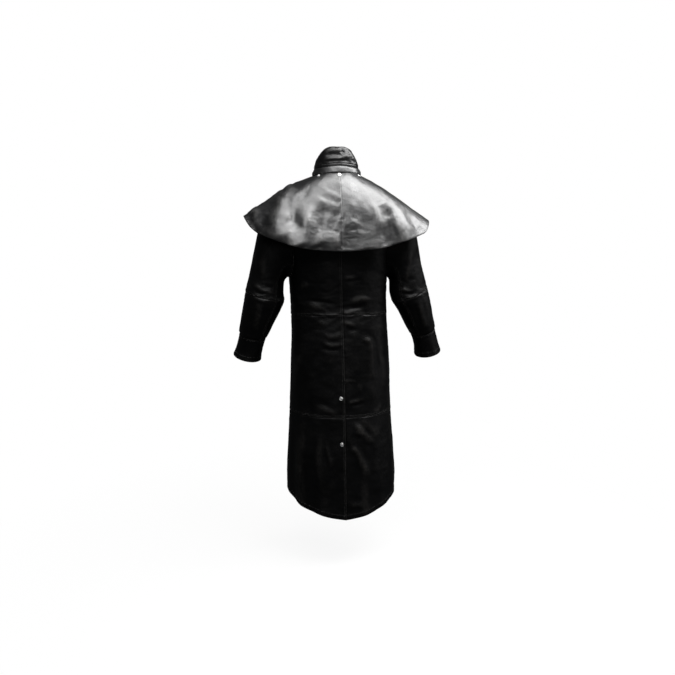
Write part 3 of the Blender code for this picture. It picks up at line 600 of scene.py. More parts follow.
def grid_mesh(name, pts, normals, closed):
    ni, nj = pts.shape[:2]
    idx = np.arange(ni * nj).reshape(ni, nj)
    if closed:
        idx = idx[:, :-1]
        idx = np.concatenate([idx, idx[:, :1]], 1)
    quads = np.stack([idx[:-1, :-1], idx[1:, :-1], idx[1:, 1:], idx[:-1, 1:]], -1).reshape(-1, 4)
    i, j = ni // 2, nj // 2
    face_n = np.cross(pts[i + 1, j] - pts[i, j], pts[i, j + 1] - pts[i, j])
    if np.dot(face_n, normals[i, j]) < 0:
        quads = quads[:, ::-1]
    keep = np.unique(quads)
    back = np.full(ni * nj, -1)
    back[keep] = np.arange(len(keep))
    mesh = bpy.data.meshes.new(name)
    mesh.from_pydata(pts.reshape(-1, 3)[keep].tolist(), [], back[quads].tolist())
    return mesh, keep


def leather_piece(node, g, height, borders, mats, wall, closed=False, cut=None):
    """A leather shell on its CAD solid, with its folds, seams and edges, then thickened inwards."""
    base, normals = g[..., :3], g[..., 3:6]
    dist = {"b0": g[..., 6], "b1": g[..., 7], "a0": g[..., 8], "a1": g[..., 9]}
    along = {"b0": g[..., 8], "b1": g[..., 8], "a0": g[..., 6], "a1": g[..., 6]}
    h = height.reshape(base.shape[:2]).copy()
    small = np.zeros_like(h)
    for n, (key, kind) in enumerate(sorted(borders.items())):
        if kind:
            small = small + border(kind, dist[key], along[key], n + sum(map(ord, node)) % 23)
    p = base + normals * (h + small)[..., None]
    lit = surface_normals(p, INSIDE if not closed else p.mean((0, 1)))
    if np.sum(lit * normals) < 0:
        lit = -lit
    mesh, keep = grid_mesh(node + "_fine", p, normals, closed)
    # wear: rubbed edges, and crests that stand proud of their surroundings
    rub = np.zeros_like(h)
    for key, kind in borders.items():
        if kind and kind != "under":
            rub = np.maximum(rub, 1 - smooth(dist[key] / (0.0035 if kind != "hem" else 0.006)))
    rub = rub * (0.55 + 0.45 * lattice(base, 0.016, 5))
    crest = h - lattice_blur(h)
    rub = np.clip(np.maximum(rub, crest / 0.0016 * 0.35), 0, 1)
    attr = mesh.attributes.new("wear", "FLOAT", "POINT")
    attr.data.foreach_set("value", rub.reshape(-1)[keep].astype(np.float32))
    for m in mats:
        mesh.materials.append(m)
    mesh.shade_smooth()
    obj = bpy.data.objects.new(node + "_fine", mesh)
    coat.objects.link(obj)
    mod = obj.modifiers.new("thickness", "SOLIDIFY")
    mod.thickness = wall
    mod.offset = -1.0
    mod.use_even_offset = False
    mod.use_rim = True
    mod.material_offset = 1
    bpy.context.view_layer.update()
    done = bpy.data.meshes.new_from_object(obj.evaluated_get(bpy.context.evaluated_depsgraph_get()))
    obj.modifiers.clear()
    obj.data = done
    bpy.data.meshes.remove(mesh)
    done.name = node + "_fine"
    done.set_sharp_from_angle(angle=math.radians(62))
    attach(obj, "root")
    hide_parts(node)
    d1 = np.cross(base[1:, 1:] - base[:-1, :-1], base[:-1, 1:] - base[1:, :-1])
    area = float(np.linalg.norm(d1, axis=-1).sum() / 2)
    wide = float((g[..., 6] + g[..., 7]).max())
    long = float((g[..., 8] + g[..., 9]).max())
    if cut:
        wide, long = cut(wide, long)
    CUTS.append((node, round(wide, 3), round(long, 3), round(area, 4)))
    BUILT[node] = (p, lit, dist, borders)
    return obj


CUTS = []
INSIDE = np.array([0.0, 0.0, -0.30])


def lattice_blur(h):
    """The grid's heights averaged over a wide window."""
    k = 9
    out = h
    for axis in (0, 1):
        pad = [(0, 0), (0, 0)]
        pad[axis] = (k, k)
        q = np.pad(out, pad, mode="edge")
        c = np.cumsum(q, axis=axis)
        n = 2 * k
        out = (np.take(c, range(n, q.shape[axis]), axis) - np.take(c, range(0, q.shape[axis] - n), axis)) / n
    return out


# ---------------------------------------------------------------- materials
def nodes_of(name):
    m = bpy.data.materials.new(name)
    m.use_nodes = True
    nt = m.node_tree
    nt.nodes.clear()
    out = nt.nodes.new("ShaderNodeOutputMaterial")
    bsdf = nt.nodes.new("ShaderNodeBsdfPrincipled")
    nt.links.new(bsdf.outputs["BSDF"], out.inputs["Surface"])
    return m, nt, bsdf


def add(nt, kind, **values):
    n = nt.nodes.new(kind)
    for k, v in values.items():
        if hasattr(n, k):
            setattr(n, k, v)
        else:
            n.inputs[k.replace("_", " ")].default_value = v
    return n


def math_node(nt, op, a, b=None, clamp=False):
    n = nt.nodes.new("ShaderNodeMath")
    n.operation = op
    n.use_clamp = clamp
    for k, v in enumerate((a, b)):
        if v is None:
            continue
        if isinstance(v, (int, float)):
            n.inputs[k].default_value = v
        else:
            nt.links.new(v, n.inputs[k])
    return n.outputs[0]


def span(nt, value, a, b, c, d):
    n = nt.nodes.new("ShaderNodeMapRange")
    nt.links.new(value, n.inputs["Value"])
    for k, v in (("From Min", a), ("From Max", b), ("To Min", c), ("To Max", d)):
        n.inputs[k].default_value = v
    return n.outputs["Result"]


def blend_colour(nt, fac, a, b):
    n = nt.nodes.new("ShaderNodeMix")
    n.data_type = "RGBA"
    if isinstance(fac, (int, float)):
        n.inputs["Factor"].default_value = fac
    else:
        nt.links.new(fac, n.inputs["Factor"])
    for sock, v in ((n.inputs[6], a), (n.inputs[7], b)):
        if isinstance(v, tuple):
            sock.default_value = (*v, 1)
        else:
            nt.links.new(v, sock)
    return n.outputs[2]


def leather(name, dark, pale, worn, rough, level, coat_weight, coat_rough, grain=1.0):
    m, nt, b = nodes_of(name)
    co = nt.nodes.new("ShaderNodeTexCoord").outputs["Object"]
    L = nt.links.new
    drift = add(nt, "ShaderNodeTexNoise", Scale=210.0, Detail=2.0)
    L(co, drift.inputs["Vector"])
    shift = nt.nodes.new("ShaderNodeVectorMath")
    shift.operation = "MULTIPLY_ADD"
    L(drift.outputs["Color"], shift.inputs[0])
    shift.inputs[1].default_value = (0.0016, 0.0016, 0.0016)
    L(co, shift.inputs[2])
    cells = add(nt, "ShaderNodeTexVoronoi", feature="DISTANCE_TO_EDGE", Scale=560.0)
    L(shift.outputs[0], cells.inputs["Vector"])
    pores = add(nt, "ShaderNodeTexNoise", Scale=2300.0, Detail=3.0, Roughness=0.6)
    L(co, pores.inputs["Vector"])
    lines = add(nt, "ShaderNodeTexNoise", Scale=85.0, Detail=7.0, Roughness=0.62, Distortion=0.8)
    L(co, lines.inputs["Vector"])
    patch = add(nt, "ShaderNodeTexNoise", Scale=13.0, Detail=4.0, Roughness=0.55)
    L(co, patch.inputs["Vector"])
    broad = add(nt, "ShaderNodeTexNoise", Scale=4.2, Detail=3.0, Roughness=0.5)
    L(co, broad.inputs["Vector"])
    pebble = span(nt, cells.outputs["Distance"], 0.0, 0.32, 0.0, 1.0)
    height = math_node(nt, "ADD", math_node(nt, "MULTIPLY", pebble, 0.75), math_node(nt, "MULTIPLY", pores.outputs["Fac"], 0.35))
    # crease lines: a folded noise, sharp at its valleys
    fold = math_node(nt, "ABSOLUTE", math_node(nt, "SUBTRACT", lines.outputs["Fac"], 0.5))
    fold = span(nt, fold, 0.0, 0.09, 0.0, 1.0)
    b1 = add(nt, "ShaderNodeBump", Strength=0.22 * grain, Distance=0.0009)
    L(fold, b1.inputs["Height"])
    b2 = add(nt, "ShaderNodeBump", Strength=0.30 * grain, Distance=0.00022)
    L(height, b2.inputs["Height"])
    L(b1.outputs["Normal"], b2.inputs["Normal"])
    L(b2.outputs["Normal"], b.inputs["Normal"])
    tone = blend_colour(nt, span(nt, patch.outputs["Fac"], 0.35, 0.68, 0.0, 1.0), dark, pale)
    tone = blend_colour(nt, math_node(nt, "MULTIPLY", math_node(nt, "SUBTRACT", 1.0, pebble), 0.55), tone, tuple(c * 0.5 for c in dark))
    wear = add(nt, "ShaderNodeAttribute", attribute_name="wear")
    scuff = math_node(nt, "MULTIPLY", wear.outputs["Fac"], span(nt, lines.outputs["Fac"], 0.38, 0.62, 0.25, 1.0), clamp=True)
    tone = blend_colour(nt, scuff, tone, worn)
    L(tone, b.inputs["Base Color"])
    r = math_node(nt, "ADD", span(nt, patch.outputs["Fac"], 0.3, 0.7, rough - 0.05, rough + 0.06), span(nt, broad.outputs["Fac"], 0.3, 0.7, -0.035, 0.04))
    r = math_node(nt, "ADD", r, math_node(nt, "MULTIPLY", scuff, 0.12))
    r = math_node(nt, "ADD", r, math_node(nt, "MULTIPLY", math_node(nt, "SUBTRACT", 1.0, pebble), 0.12), clamp=True)
    L(r, b.inputs["Roughness"])
    b.inputs["Specular IOR Level"].default_value = level
    b.inputs["Coat Weight"].default_value = coat_weight
    b.inputs["Coat Roughness"].default_value = coat_rough
    b.inputs["Coat IOR"].default_value = 1.45
    return m


def suede(name):
    """The flesh side of the leather, seen inside the coat."""
    m, nt, b = nodes_of(name)
    co = nt.nodes.new("ShaderNodeTexCoord").outputs["Object"]
    nap = add(nt, "ShaderNodeTexNoise", Scale=900.0, Detail=4.0, Roughness=0.7)
    cloud = add(nt, "ShaderNodeTexNoise", Scale=38.0, Detail=4.0)
    nt.links.new(co, nap.inputs["Vector"])
    nt.links.new(co, cloud.inputs["Vector"])
    tone = blend_colour(nt, span(nt, cloud.outputs["Fac"], 0.3, 0.7, 0.0, 1.0), (0.010, 0.0095, 0.009), (0.024, 0.022, 0.020))
    tone = blend_colour(nt, span(nt, nap.outputs["Fac"], 0.35, 0.7, 0.0, 0.5), tone, (0.045, 0.041, 0.037))
    nt.links.new(tone, b.inputs["Base Color"])
    bp = add(nt, "ShaderNodeBump", Strength=0.6, Distance=0.0005)
    nt.links.new(nap.outputs["Fac"], bp.inputs["Height"])
    nt.links.new(bp.outputs["Normal"], b.inputs["Normal"])
    nt.links.new(span(nt, nap.outputs["Fac"], 0.3, 0.7, 0.82, 0.98), b.inputs["Roughness"])
    b.inputs["Specular IOR Level"].default_value = 0.2
    b.inputs["Sheen Weight"].default_value = 0.25
    b.inputs["Sheen Roughness"].default_value = 0.5
    return m


def thread_material():
    m, nt, b = nodes_of("waxed_thread")
    co = nt.nodes.new("ShaderNodeTexCoord").outputs["Object"]
    ply = add(nt, "ShaderNodeTexNoise", Scale=1500.0, Detail=2.0)
    nt.links.new(co, ply.inputs["Vector"])
    nt.links.new(blend_colour(nt, ply.outputs["Fac"], (0.012, 0.012, 0.012), (0.050, 0.048, 0.046)), b.inputs["Base Color"])
    bp = add(nt, "ShaderNodeBump", Strength=0.5, Distance=0.0002)
    nt.links.new(ply.outputs["Fac"], bp.inputs["Height"])
    nt.links.new(bp.outputs["Normal"], b.inputs["Normal"])
    b.inputs["Roughness"].default_value = 0.5
    b.inputs["Specular IOR Level"].default_value = 0.4
    return m


def metal_material():
    m, nt, b = nodes_of("nickel_snap")
    co = nt.nodes.new("ShaderNodeTexCoord").outputs["Object"]
    scratch = add(nt, "ShaderNodeTexNoise", Scale=700.0, Detail=5.0, Roughness=0.7)
    tarnish = add(nt, "ShaderNodeTexNoise", Scale=160.0, Detail=3.0)
    nt.links.new(co, scratch.inputs["Vector"])
    nt.links.new(co, tarnish.inputs["Vector"])
    nt.links.new(blend_colour(nt, span(nt, tarnish.outputs["Fac"], 0.4, 0.75, 0.0, 1.0), (0.95, 0.95, 0.94), (0.80, 0.79, 0.77)), b.inputs["Base Color"])
    nt.links.new(span(nt, scratch.outputs["Fac"], 0.3, 0.7, 0.34, 0.48), b.inputs["Roughness"])
    bp = add(nt, "ShaderNodeBump", Strength=0.12, Distance=0.0001)
    nt.links.new(scratch.outputs["Fac"], bp.inputs["Height"])
    nt.links.new(bp.outputs["Normal"], b.inputs["Normal"])
    b.inputs["Metallic"].default_value = 1.0
    return m


BODY = leather("body_leather", (0.0009, 0.0009, 0.0010), (0.0020, 0.0020, 0.0022), (0.016, 0.015, 0.014), 0.34, 0.18, 0.0, 0.3)
SHINY = leather("cape_leather_fine", (0.0028, 0.0028, 0.0030), (0.0056, 0.0056, 0.0060), (0.050, 0.049, 0.048), 0.31, 0.85, 0.55, 0.28, 0.8)
NECK = leather("collar_leather_fine", (0.0022, 0.0022, 0.0024), (0.0048, 0.0048, 0.0052), (0.024, 0.023, 0.022), 0.30, 0.40, 0.12, 0.20, 0.9)
FLESH = suede("flesh_side")
THREAD = thread_material()
METAL = metal_material()

# ---------------------------------------------------------------- base grids
SIDES = (("left", 1), ("right", -1))
VENT_ROW = t_at(VENT_TOP, True)


def trunk_grid(t0, t1, back, side, pitch=0.0050, u0=0.0, u1=1.0, na=150, nb=170):
    t, u = np.meshgrid(np.linspace(t0, t1, na), np.linspace(u0, u1, nb), indexing="ij")
    p = trunk(t, u, back, side)
    n = surface_normals(p, INSIDE)
    return fine_grid(p + n * WALL, INSIDE, pitch)


def sleeve_grid(part, kind, side, pitch=0.0045):
    share = np.linspace(0, 1, 150)
    phis = np.linspace(-SLEEVE_SEAM, SLEEVE_SEAM, 170) if kind == "top" else np.linspace(SLEEVE_SEAM, 2 * math.pi - SLEEVE_SEAM, 90)
    share, phi = np.meshgrid(share, phis, indexing="ij")
    wrapped = (phi + math.pi) % (2 * math.pi) - math.pi
    joint = elbow(phi, side)
    s = share * joint if part == "upper" else joint + share * (8.0 - joint)
    p = sleeve(s, wrapped, side)
    inside = p.mean(1).mean(0)
    g = fine_grid(p, inside, pitch)
    # a sleeve's normals point away from the arm's own line
    centre = sleeve(s, wrapped * 0, side) * 0.5 + sleeve(s, wrapped * 0 + math.pi, side) * 0.5
    if np.sum(surface_normals(p, inside) * (p - centre)) < 0:
        g[..., 3:6] *= -1
    return g


grids = {}
for word, side in SIDES:
    for face, back in (("back", True), ("front", False)):
        grids[f"{face}_lower_{word}"] = trunk_grid(0.0, 1.0, back, side)
        grids[f"{face}_middle_{word}"] = trunk_grid(1.0, 2.0, back, side)
        grids[f"{face}_upper_{word}"] = trunk_grid(2.0, 5.0, back, side, na=260)
    for part in ("upper", "lower"):
        for kind in ("top", "under"):
            grids[f"sleeve_{kind}_{part}_{word}"] = sleeve_grid(part, kind, side)
    s, phi = np.meshgrid(np.linspace(8.0, 9.2, 90), np.linspace(-math.pi, math.pi, 200), indexing="ij")
    p = sleeve(s, phi, side)
    grids[f"cuff_{word}"] = fine_grid(p, p.mean((0, 1)), 0.0040, fine_b=(False, False))
    for face, (q0, q1) in (("back", (0, 1)), ("front", (1, 2))):
        r, q = np.meshgrid(np.linspace(0, 1, 200), np.linspace(q0, q1, 260), indexing="ij")
        p = cape(q, r, side)
        n = surface_normals(p, INSIDE)
        grids[f"cape_{face}_{word}"] = fine_grid(p + n * WALL, INSIDE, 0.0036 if face == "back" else 0.0044)

theta, v = np.meshgrid(np.radians(np.linspace(-168, 168, 260)), np.linspace(0, 1, 60), indexing="ij")
p = between(BAND_LOW, BAND_TOP, theta, v, 0.001)
out = np.array([0.0, 0.0, 0.02])
grids["cape_neckband"] = fine_grid(p + surface_normals(p, out) * WALL, out, 0.0026)
theta, v = np.meshgrid(np.radians(np.linspace(-176, 176, 300)), np.linspace(0, 0.45, 80), indexing="ij")
p = collar(theta, v)
grids["collar_stand"] = fine_grid(p + surface_normals(p, out) * WALL, out, 0.0028)
base, v = np.meshgrid(np.linspace(-1, 1, 300), np.linspace(0.45, 1.0, 100), indexing="ij")
theta = np.radians(base * (166 - 26 * (v - 0.45)))
p = collar(theta, v)
grids["collar_fall"] = fine_grid(p + surface_normals(p, out) * WALL, out, 0.0026)

# strips along the centre lines: the vent's underlap and the placket
def strip_grid(t0, t1, x0, x1, back, lift, pitch=0.0045):
    rows = np.linspace(t0, t1, 420)
    xs = np.linspace(x0, x1, 40)
    near = np.array([u_at(tt, max(abs(x0), abs(x1)), back) for tt in np.linspace(t0, t1, 40)])
    reach = np.interp(rows, np.linspace(t0, t1, 40), near)[:, None]
    u = xs[None, :] / max(abs(x0), abs(x1)) * reach
    t = np.repeat(rows[:, None], len(xs), 1)
    p = trunk(t, u, back, 1)
    return fine_grid(p + trunk_normal(t, u, back, 1) * lift, INSIDE, pitch)


grids["vent_underlap"] = strip_grid(0.012, 1.36, -0.016, UNDERLAP, True, -2 * LAP - 0.0002)
grids["front_placket"] = strip_grid(0.0, 4.42, -PLACKET_HALF, PLACKET_HALF, False, 2 * WALL + 2.5 * LAP)

# ---------------------------------------------------------------- folds laid one by one
TRUNK = [n for n in grids if n.startswith(("back_", "front_"))]
SLEEVES = [n for n in grids if n.startswith(("sleeve_", "cuff_"))]
CAPES = [n for n in grids if n.startswith("cape_")]
COLLARS = ["collar_stand", "collar_fall"]

body = Creases([grids[n] for n in TRUNK])
# small of the back, right of the centre seam
body.lay("back", [(-0.008, -0.366), (-0.038, -0.364), (-0.076, -0.355)], 0.0060, 0.0030, fade=(0.15, 0.6))
body.lay("back", [(-0.014, -0.381), (-0.048, -0.379), (-0.078, -0.372)], 0.0070, -0.0022)
body.lay("back", [(-0.020, -0.399), (-0.034, -0.392), (-0.050, -0.398)], 0.0120, 0.0022)
body.lay("back", [(-0.030, -0.462), (-0.060, -0.452), (-0.090, -0.449), (-0.130, -0.460)], 0.0130, 0.0055, fade=(0.3, 0.35))
body.lay("back", [(-0.018, -0.478), (-0.055, -0.480), (-0.100, -0.476)], 0.0080, -0.0042)
body.lay("back", [(-0.006, -0.502), (-0.045, -0.495), (-0.098, -0.486)], 0.0065, 0.0034, fade=(0.1, 0.5))
body.lay("back", [(-0.006, -0.534), (-0.030, -0.542), (-0.060, -0.550)], 0.0070, 0.0034, fade=(0.15, 0.5))
body.lay("back", [(-0.010, -0.556), (-0.045, -0.566), (-0.080, -0.570)], 0.0100, -0.0020)
body.lay("back", [(-0.082, -0.592), (-0.112, -0.604), (-0.127, -0.640), (-0.131, -0.730), (-0.142, -0.775)], 0.0150, 0.0032, kind="fold", fade=(0.2, 0.4))
body.lay("back", [(-0.072, -0.600), (-0.100, -0.609), (-0.120, -0.606)], 0.0060, 0.0022)
# left of it
body.lay("back", [(0.160, -0.396), (0.140, -0.396), (0.118, -0.391)], 0.0120, 0.0035)
body.lay("back", [(0.160, -0.424), (0.120, -0.430), (0.080, -0.424)], 0.0150, -0.0022)
body.lay("back", [(0.156, -0.455), (0.095, -0.455), (0.022, -0.464)], 0.0075, -0.0036)
body.lay("back", [(0.132, -0.471), (0.100, -0.477), (0.062, -0.482)], 0.0100, 0.0042)
body.lay("back", [(0.128, -0.501), (0.070, -0.508), (0.006, -0.508)], 0.0055, 0.0026, fade=(0.3, 0.12))
body.lay("back", [(0.108, -0.528), (0.066, -0.540), (0.028, -0.534)], 0.0100, 0.0026)
body.lay("back", [(0.076, -0.572), (0.046, -0.592), (0.012, -0.588), (0.000, -0.574)], 0.0090, 0.0030)
body.lay("back", [(0.082, -0.614), (0.036, -0.625), (-0.010, -0.618)], 0.0090, 0.0034)
body.lay("back", [(0.094, -0.634), (0.040, -0.640), (-0.004, -0.636)], 0.0100, -0.0024)
# over the vent and the seat
body.lay("back", [(-0.006, -0.764), (-0.036, -0.760), (-0.060, -0.768)], 0.0050, 0.0020, fade=(0.1, 0.6))
body.lay("back", [(-0.060, -0.770), (-0.070, -0.790), (-0.066, -0.815)], 0.0070, 0.0016)
body.lay("back", [(-0.022, -0.847), (-0.052, -0.842), (-0.094, -0.830)], 0.0065, 0.0036, fade=(0.12, 0.6))
body.lay("back", [(-0.028, -0.858), (-0.060, -0.854), (-0.098, -0.846)], 0.0080, -0.0022)
body.lay("back", [(-0.118, -0.894), (-0.145, -0.881), (-0.170, -0.862)], 0.0100, 0.0030)
body.lay("back", [(0.098, -0.860), (0.052, -0.878), (0.012, -0.892)], 0.0100, 0.0028)
body.lay("back", [(0.110, -0.842), (0.070, -0.848), (0.030, -0.862)], 0.0130, -0.0018)
# below the knee seam
body.lay("back", [(-0.042, -0.914), (-0.070, -0.944), (-0.100, -0.978), (-0.140, -1.018)], 0.0150, 0.0036, kind="fold", fade=(0.2, 0.35))
body.lay("back", [(-0.056, -0.912), (-0.086, -0.944), (-0.116, -0.976), (-0.150, -1.010)], 0.0300, 0.0062, width_end=0.036, fade=(0.25, 0.35))
body.lay("back", [(-0.046, -0.970), (-0.062, -0.966), (-0.080, -0.969)], 0.0060, 0.0022)
body.lay("back", [(-0.028, -0.930), (-0.032, -1.000), (-0.062, -1.052), (-0.092, -1.118), (-0.104, -1.150)], 0.0130, 0.0036)
body.lay("back", [(-0.060, -1.000), (-0.086, -1.054), (-0.112, -1.110)], 0.0140, -0.0026)
body.lay("back", [(0.054, -0.980), (0.060, -1.028), (0.048, -1.074), (0.046, -1.116)], 0.0080, 0.0028)
body.lay("back", [(0.076, -0.950), (0.094, -1.060), (0.084, -1.170)], 0.0180, 0.0032)
body.lay("back", [(-0.176, -0.990), (-0.184, -1.098), (-0.180, -1.205)], 0.0150, 0.0034)
body.lay("back", [(0.150, -0.960), (0.168, -1.070), (0.160, -1.190)], 0.0200, 0.0034)
body.lay("back", [(-0.026, -1.252), (-0.056, -1.248), (-0.086, -1.258)], 0.0100, 0.0026)
body.lay("back", [(-0.036, -1.020), (-0.044, -1.030), (-0.058, -1.028)], 0.0110, 0.0020)
# sides and front, of the same kind
for sgn in (1, -1):
    body.lay("front", [(sgn * 0.030, -0.430), (sgn * 0.080, -0.436), (sgn * 0.136, -0.424)], 0.0100, 0.0036)
    body.lay("front", [(sgn * 0.036, -0.463 - 0.01 * sgn), (sgn * 0.090, -0.470), (sgn * 0.150, -0.462)], 0.0085, -0.0034)
    body.lay("front", [(sgn * 0.034, -0.492), (sgn * 0.082, -0.488 - 0.006 * sgn), (sgn * 0.126, -0.494)], 0.0070, 0.0032)
    body.lay("front", [(sgn * 0.034, -0.540), (sgn * 0.080, -0.552), (sgn * 0.132, -0.546)], 0.0090, 0.0032)
    body.lay("front", [(sgn * 0.040, -0.580 + 0.012 * sgn), (sgn * 0.086, -0.600), (sgn * 0.130, -0.588)], 0.0110, -0.0026)
    body.lay("front", [(sgn * 0.036, -0.350), (sgn * 0.072, -0.330), (sgn * 0.120, -0.290 - 0.02 * sgn)], 0.0120, 0.0040)
    body.lay("front", [(sgn * 0.036, -0.382), (sgn * 0.080, -0.372), (sgn * 0.140, -0.330)], 0.0120, -0.0026)
    body.lay("front", [(sgn * 0.052, -0.680), (sgn * 0.086, -0.700 - 0.02 * sgn), (sgn * 0.142, -0.690)], 0.0130, 0.0030)
    body.lay("front", [(sgn * 0.040, -0.836), (sgn * 0.082, -0.858), (sgn * 0.128, -0.848 - 0.014 * sgn)], 0.0100, 0.0034)
    body.lay("front", [(sgn * 0.060, -0.930), (sgn * 0.096 , -1.040), (sgn * 0.088, -1.160)], 0.0180, 0.0042)
    body.lay("front", [(sgn * 0.130, -0.940), (sgn * 0.146, -1.060), (sgn * 0.138, -1.190)], 0.0200, -0.0036)
    body.lay("front", [(sgn * 0.172, -0.930), (sgn * 0.188, -1.060), (sgn * 0.180, -1.200)], 0.0160, 0.0034)
    body.lay("front", [(sgn * 0.045, -0.960 - 0.02 * sgn), (sgn * 0.076, -0.990), (sgn * 0.112, -1.040)], 0.0140, 0.0040, kind="fold")
    body.lay("all", [(sgn * 0.184, -0.455), (sgn * 0.186, -0.500), (sgn * 0.182, -0.540)], 0.0150, 0.0020)
    body.lay("back", [(sgn * 0.150, -0.640), (sgn * 0.168, -0.720), (sgn * 0.172, -0.820)], 0.0180, 0.0026)

arms = Creases([grids[n] for n in SLEEVES])
# right sleeve
arms.lay("back", [(-0.281, -0.262), (-0.268, -0.330), (-0.255, -0.408)], 0.0060, 0.0028, width_end=0.009)
arms.lay("back", [(-0.300, -0.254), (-0.290, -0.330), (-0.282, -0.400)], 0.0110, -0.0024)
arms.lay("back", [(-0.244, -0.416), (-0.262, -0.424), (-0.290, -0.420)], 0.0055, 0.0036, fade=(0.2, 0.5))
arms.lay("back", [(-0.250, -0.432), (-0.274, -0.438), (-0.306, -0.426)], 0.0060, -0.0028)
arms.lay("back", [(-0.256, -0.448), (-0.284, -0.450), (-0.316, -0.436)], 0.0050, 0.0022)
arms.lay("back", [(-0.306, -0.456), (-0.322, -0.520), (-0.350, -0.592)], 0.0110, 0.0034)
arms.lay("back", [(-0.290, -0.470), (-0.310, -0.530), (-0.332, -0.582)], 0.0090, -0.0024)
arms.lay("back", [(-0.330, -0.440), (-0.350, -0.500), (-0.366, -0.556)], 0.0100, 0.0022)
arms.lay("back", [(-0.306, -0.290), (-0.322, -0.350), (-0.326, -0.404)], 0.0120, 0.0026)
# left sleeve
arms.lay("back", [(0.332, -0.392), (0.312, -0.404), (0.296, -0.424)], 0.0060, 0.0034)
arms.lay("back", [(0.306, -0.410), (0.284, -0.418), (0.256, -0.426)], 0.0060, 0.0032)
arms.lay("back", [(0.338, -0.412), (0.316, -0.424), (0.290, -0.434)], 0.0055, -0.0024)
arms.lay("back", [(0.250, -0.400), (0.270, -0.404), (0.292, -0.396)], 0.0080, -0.0026)
arms.lay("back", [(0.300, -0.270), (0.292, -0.330), (0.288, -0.390)], 0.0130, 0.0026)
arms.lay("back", [(0.322, -0.290), (0.326, -0.340), (0.322, -0.384)], 0.0110, -0.0022)
arms.lay("back", [(0.300, -0.456), (0.316, -0.520), (0.330, -0.590)], 0.0120, 0.0030)
arms.lay("back", [(0.280, -0.462), (0.292, -0.510), (0.308, -0.560)], 0.0100, -0.0024)
arms.lay("back", [(0.270, -0.448), (0.292, -0.458), (0.322, -0.450)], 0.0060, 0.0026)
for sgn in (1, -1):
    arms.lay("front", [(sgn * 0.238, -0.404), (sgn * 0.270, -0.414), (sgn * 0.318, -0.398)], 0.0075, -0.0040)
    arms.lay("front", [(sgn * 0.242, -0.424), (sgn * 0.280, -0.436), (sgn * 0.328, -0.420)], 0.0070, 0.0036)
    arms.lay("front", [(sgn * 0.248, -0.446), (sgn * 0.284, -0.458), (sgn * 0.330, -0.446)], 0.0070, -0.0030)
    arms.lay("front", [(sgn * 0.240, -0.384), (sgn * 0.272, -0.390), (sgn * 0.312, -0.374)], 0.0080, 0.0030)
    arms.lay("front", [(sgn * 0.262, -0.478), (sgn * 0.296, -0.500), (sgn * 0.330, -0.496)], 0.0090, 0.0026)
    arms.lay("front", [(sgn * 0.300, -0.540), (sgn * 0.322, -0.560), (sgn * 0.352, -0.548)], 0.0080, 0.0026)
    arms.lay("front", [(sgn * 0.280, -0.300), (sgn * 0.278, -0.340), (sgn * 0.270, -0.376)], 0.0140, 0.0030)

shawl = Creases([grids[n] for n in CAPES])
# the wearer's left half of the cape's back
shawl.lay("all", [(0.128, 0.015), (0.173, -0.027), (0.214, -0.071), (0.232, -0.125), (0.243, -0.190), (0.247, -0.257)], 0.0247, 0.0108, width_end=0.0288, fade=(0.3, 0.0))
shawl.lay("all", [(0.213, -0.035), (0.266, -0.097), (0.287, -0.163), (0.301, -0.248)], 0.0267, -0.0041, width_end=0.0356, fade=(0.4, 0.0))
shawl.lay("all", [(0.290, -0.082), (0.323, -0.132), (0.340, -0.206)], 0.0207, 0.0043, width_end=0.0207, fade=(0.4, 0.0))
shawl.lay("all", [(0.340, -0.120), (0.335, -0.156), (0.307, -0.222)], 0.0174, -0.0082, width_end=0.0174, fade=(0.3, 0.2))
shawl.lay("back", [(0.209, -0.089), (0.207, -0.139), (0.191, -0.190), (0.163, -0.251)], 0.0208, 0.0083, width_end=0.0270, fade=(0.5, 0.0))
shawl.lay("back", [(0.152, -0.051), (0.151, -0.113), (0.135, -0.174), (0.104, -0.250)], 0.0315, 0.0084, width_end=0.0384, fade=(0.5, 0.0))
shawl.lay("back", [(0.145, -0.060), (0.133, -0.122), (0.113, -0.165), (0.073, -0.194), (0.029, -0.212)], 0.0131, 0.0010, width_end=0.0156, fade=(0.35, 0.2))
shawl.lay("back", [(0.102, -0.101), (0.081, -0.137), (0.022, -0.166)], 0.0341, -0.0014, width_end=0.0455, fade=(0.4, 0.1))
shawl.lay("back", [(0.107, -0.205), (0.063, -0.223), (0.008, -0.224)], 0.0288, 0.0075, width_end=0.0288, fade=(0.3, 0.1))
shawl.lay("back", [(0.098, -0.015), (0.153, -0.062), (0.180, -0.102)], 0.0209, -0.0031, width_end=0.0235, fade=(0.4, 0.4))
shawl.lay("back", [(0.215, -0.154), (0.209, -0.204), (0.199, -0.257)], 0.0201, 0.0013, width_end=0.0241, fade=(0.4, 0))
shawl.lay("back", [(0.079, -0.027), (0.044, -0.051), (0.004, -0.071)], 0.0104, 0.0013, width_end=0.0104, fade=(0.4, 0.05))
shawl.lay("back", [(0.098, -0.052), (0.052, -0.073), (0.008, -0.092)], 0.0128, -0.0018, width_end=0.0128, fade=(0.4, 0.05))
shawl.lay("back", [(0.112, -0.063), (0.065, -0.079), (0.003, -0.099)], 0.0152, 0.0022, width_end=0.0152, fade=(0.4, 0.05))
shawl.lay("back", [(0.052, 0.010), (0.023, -0.005), (-0.005, -0.020)], 0.0146, 0.0017, width_end=0.0146, fade=(0.4, 0.05))
shawl.lay("back", [(0.090, -0.113), (0.054, -0.120), (0.007, -0.134)], 0.0133, -0.0014, width_end=0.0133, fade=(0.4, 0.1))
shawl.lay("back", [(-0.040, -0.031), (-0.083, -0.078), (-0.118, -0.126)], 0.0320, -0.0013, width_end=0.0320, fade=(0.4, 0.4))
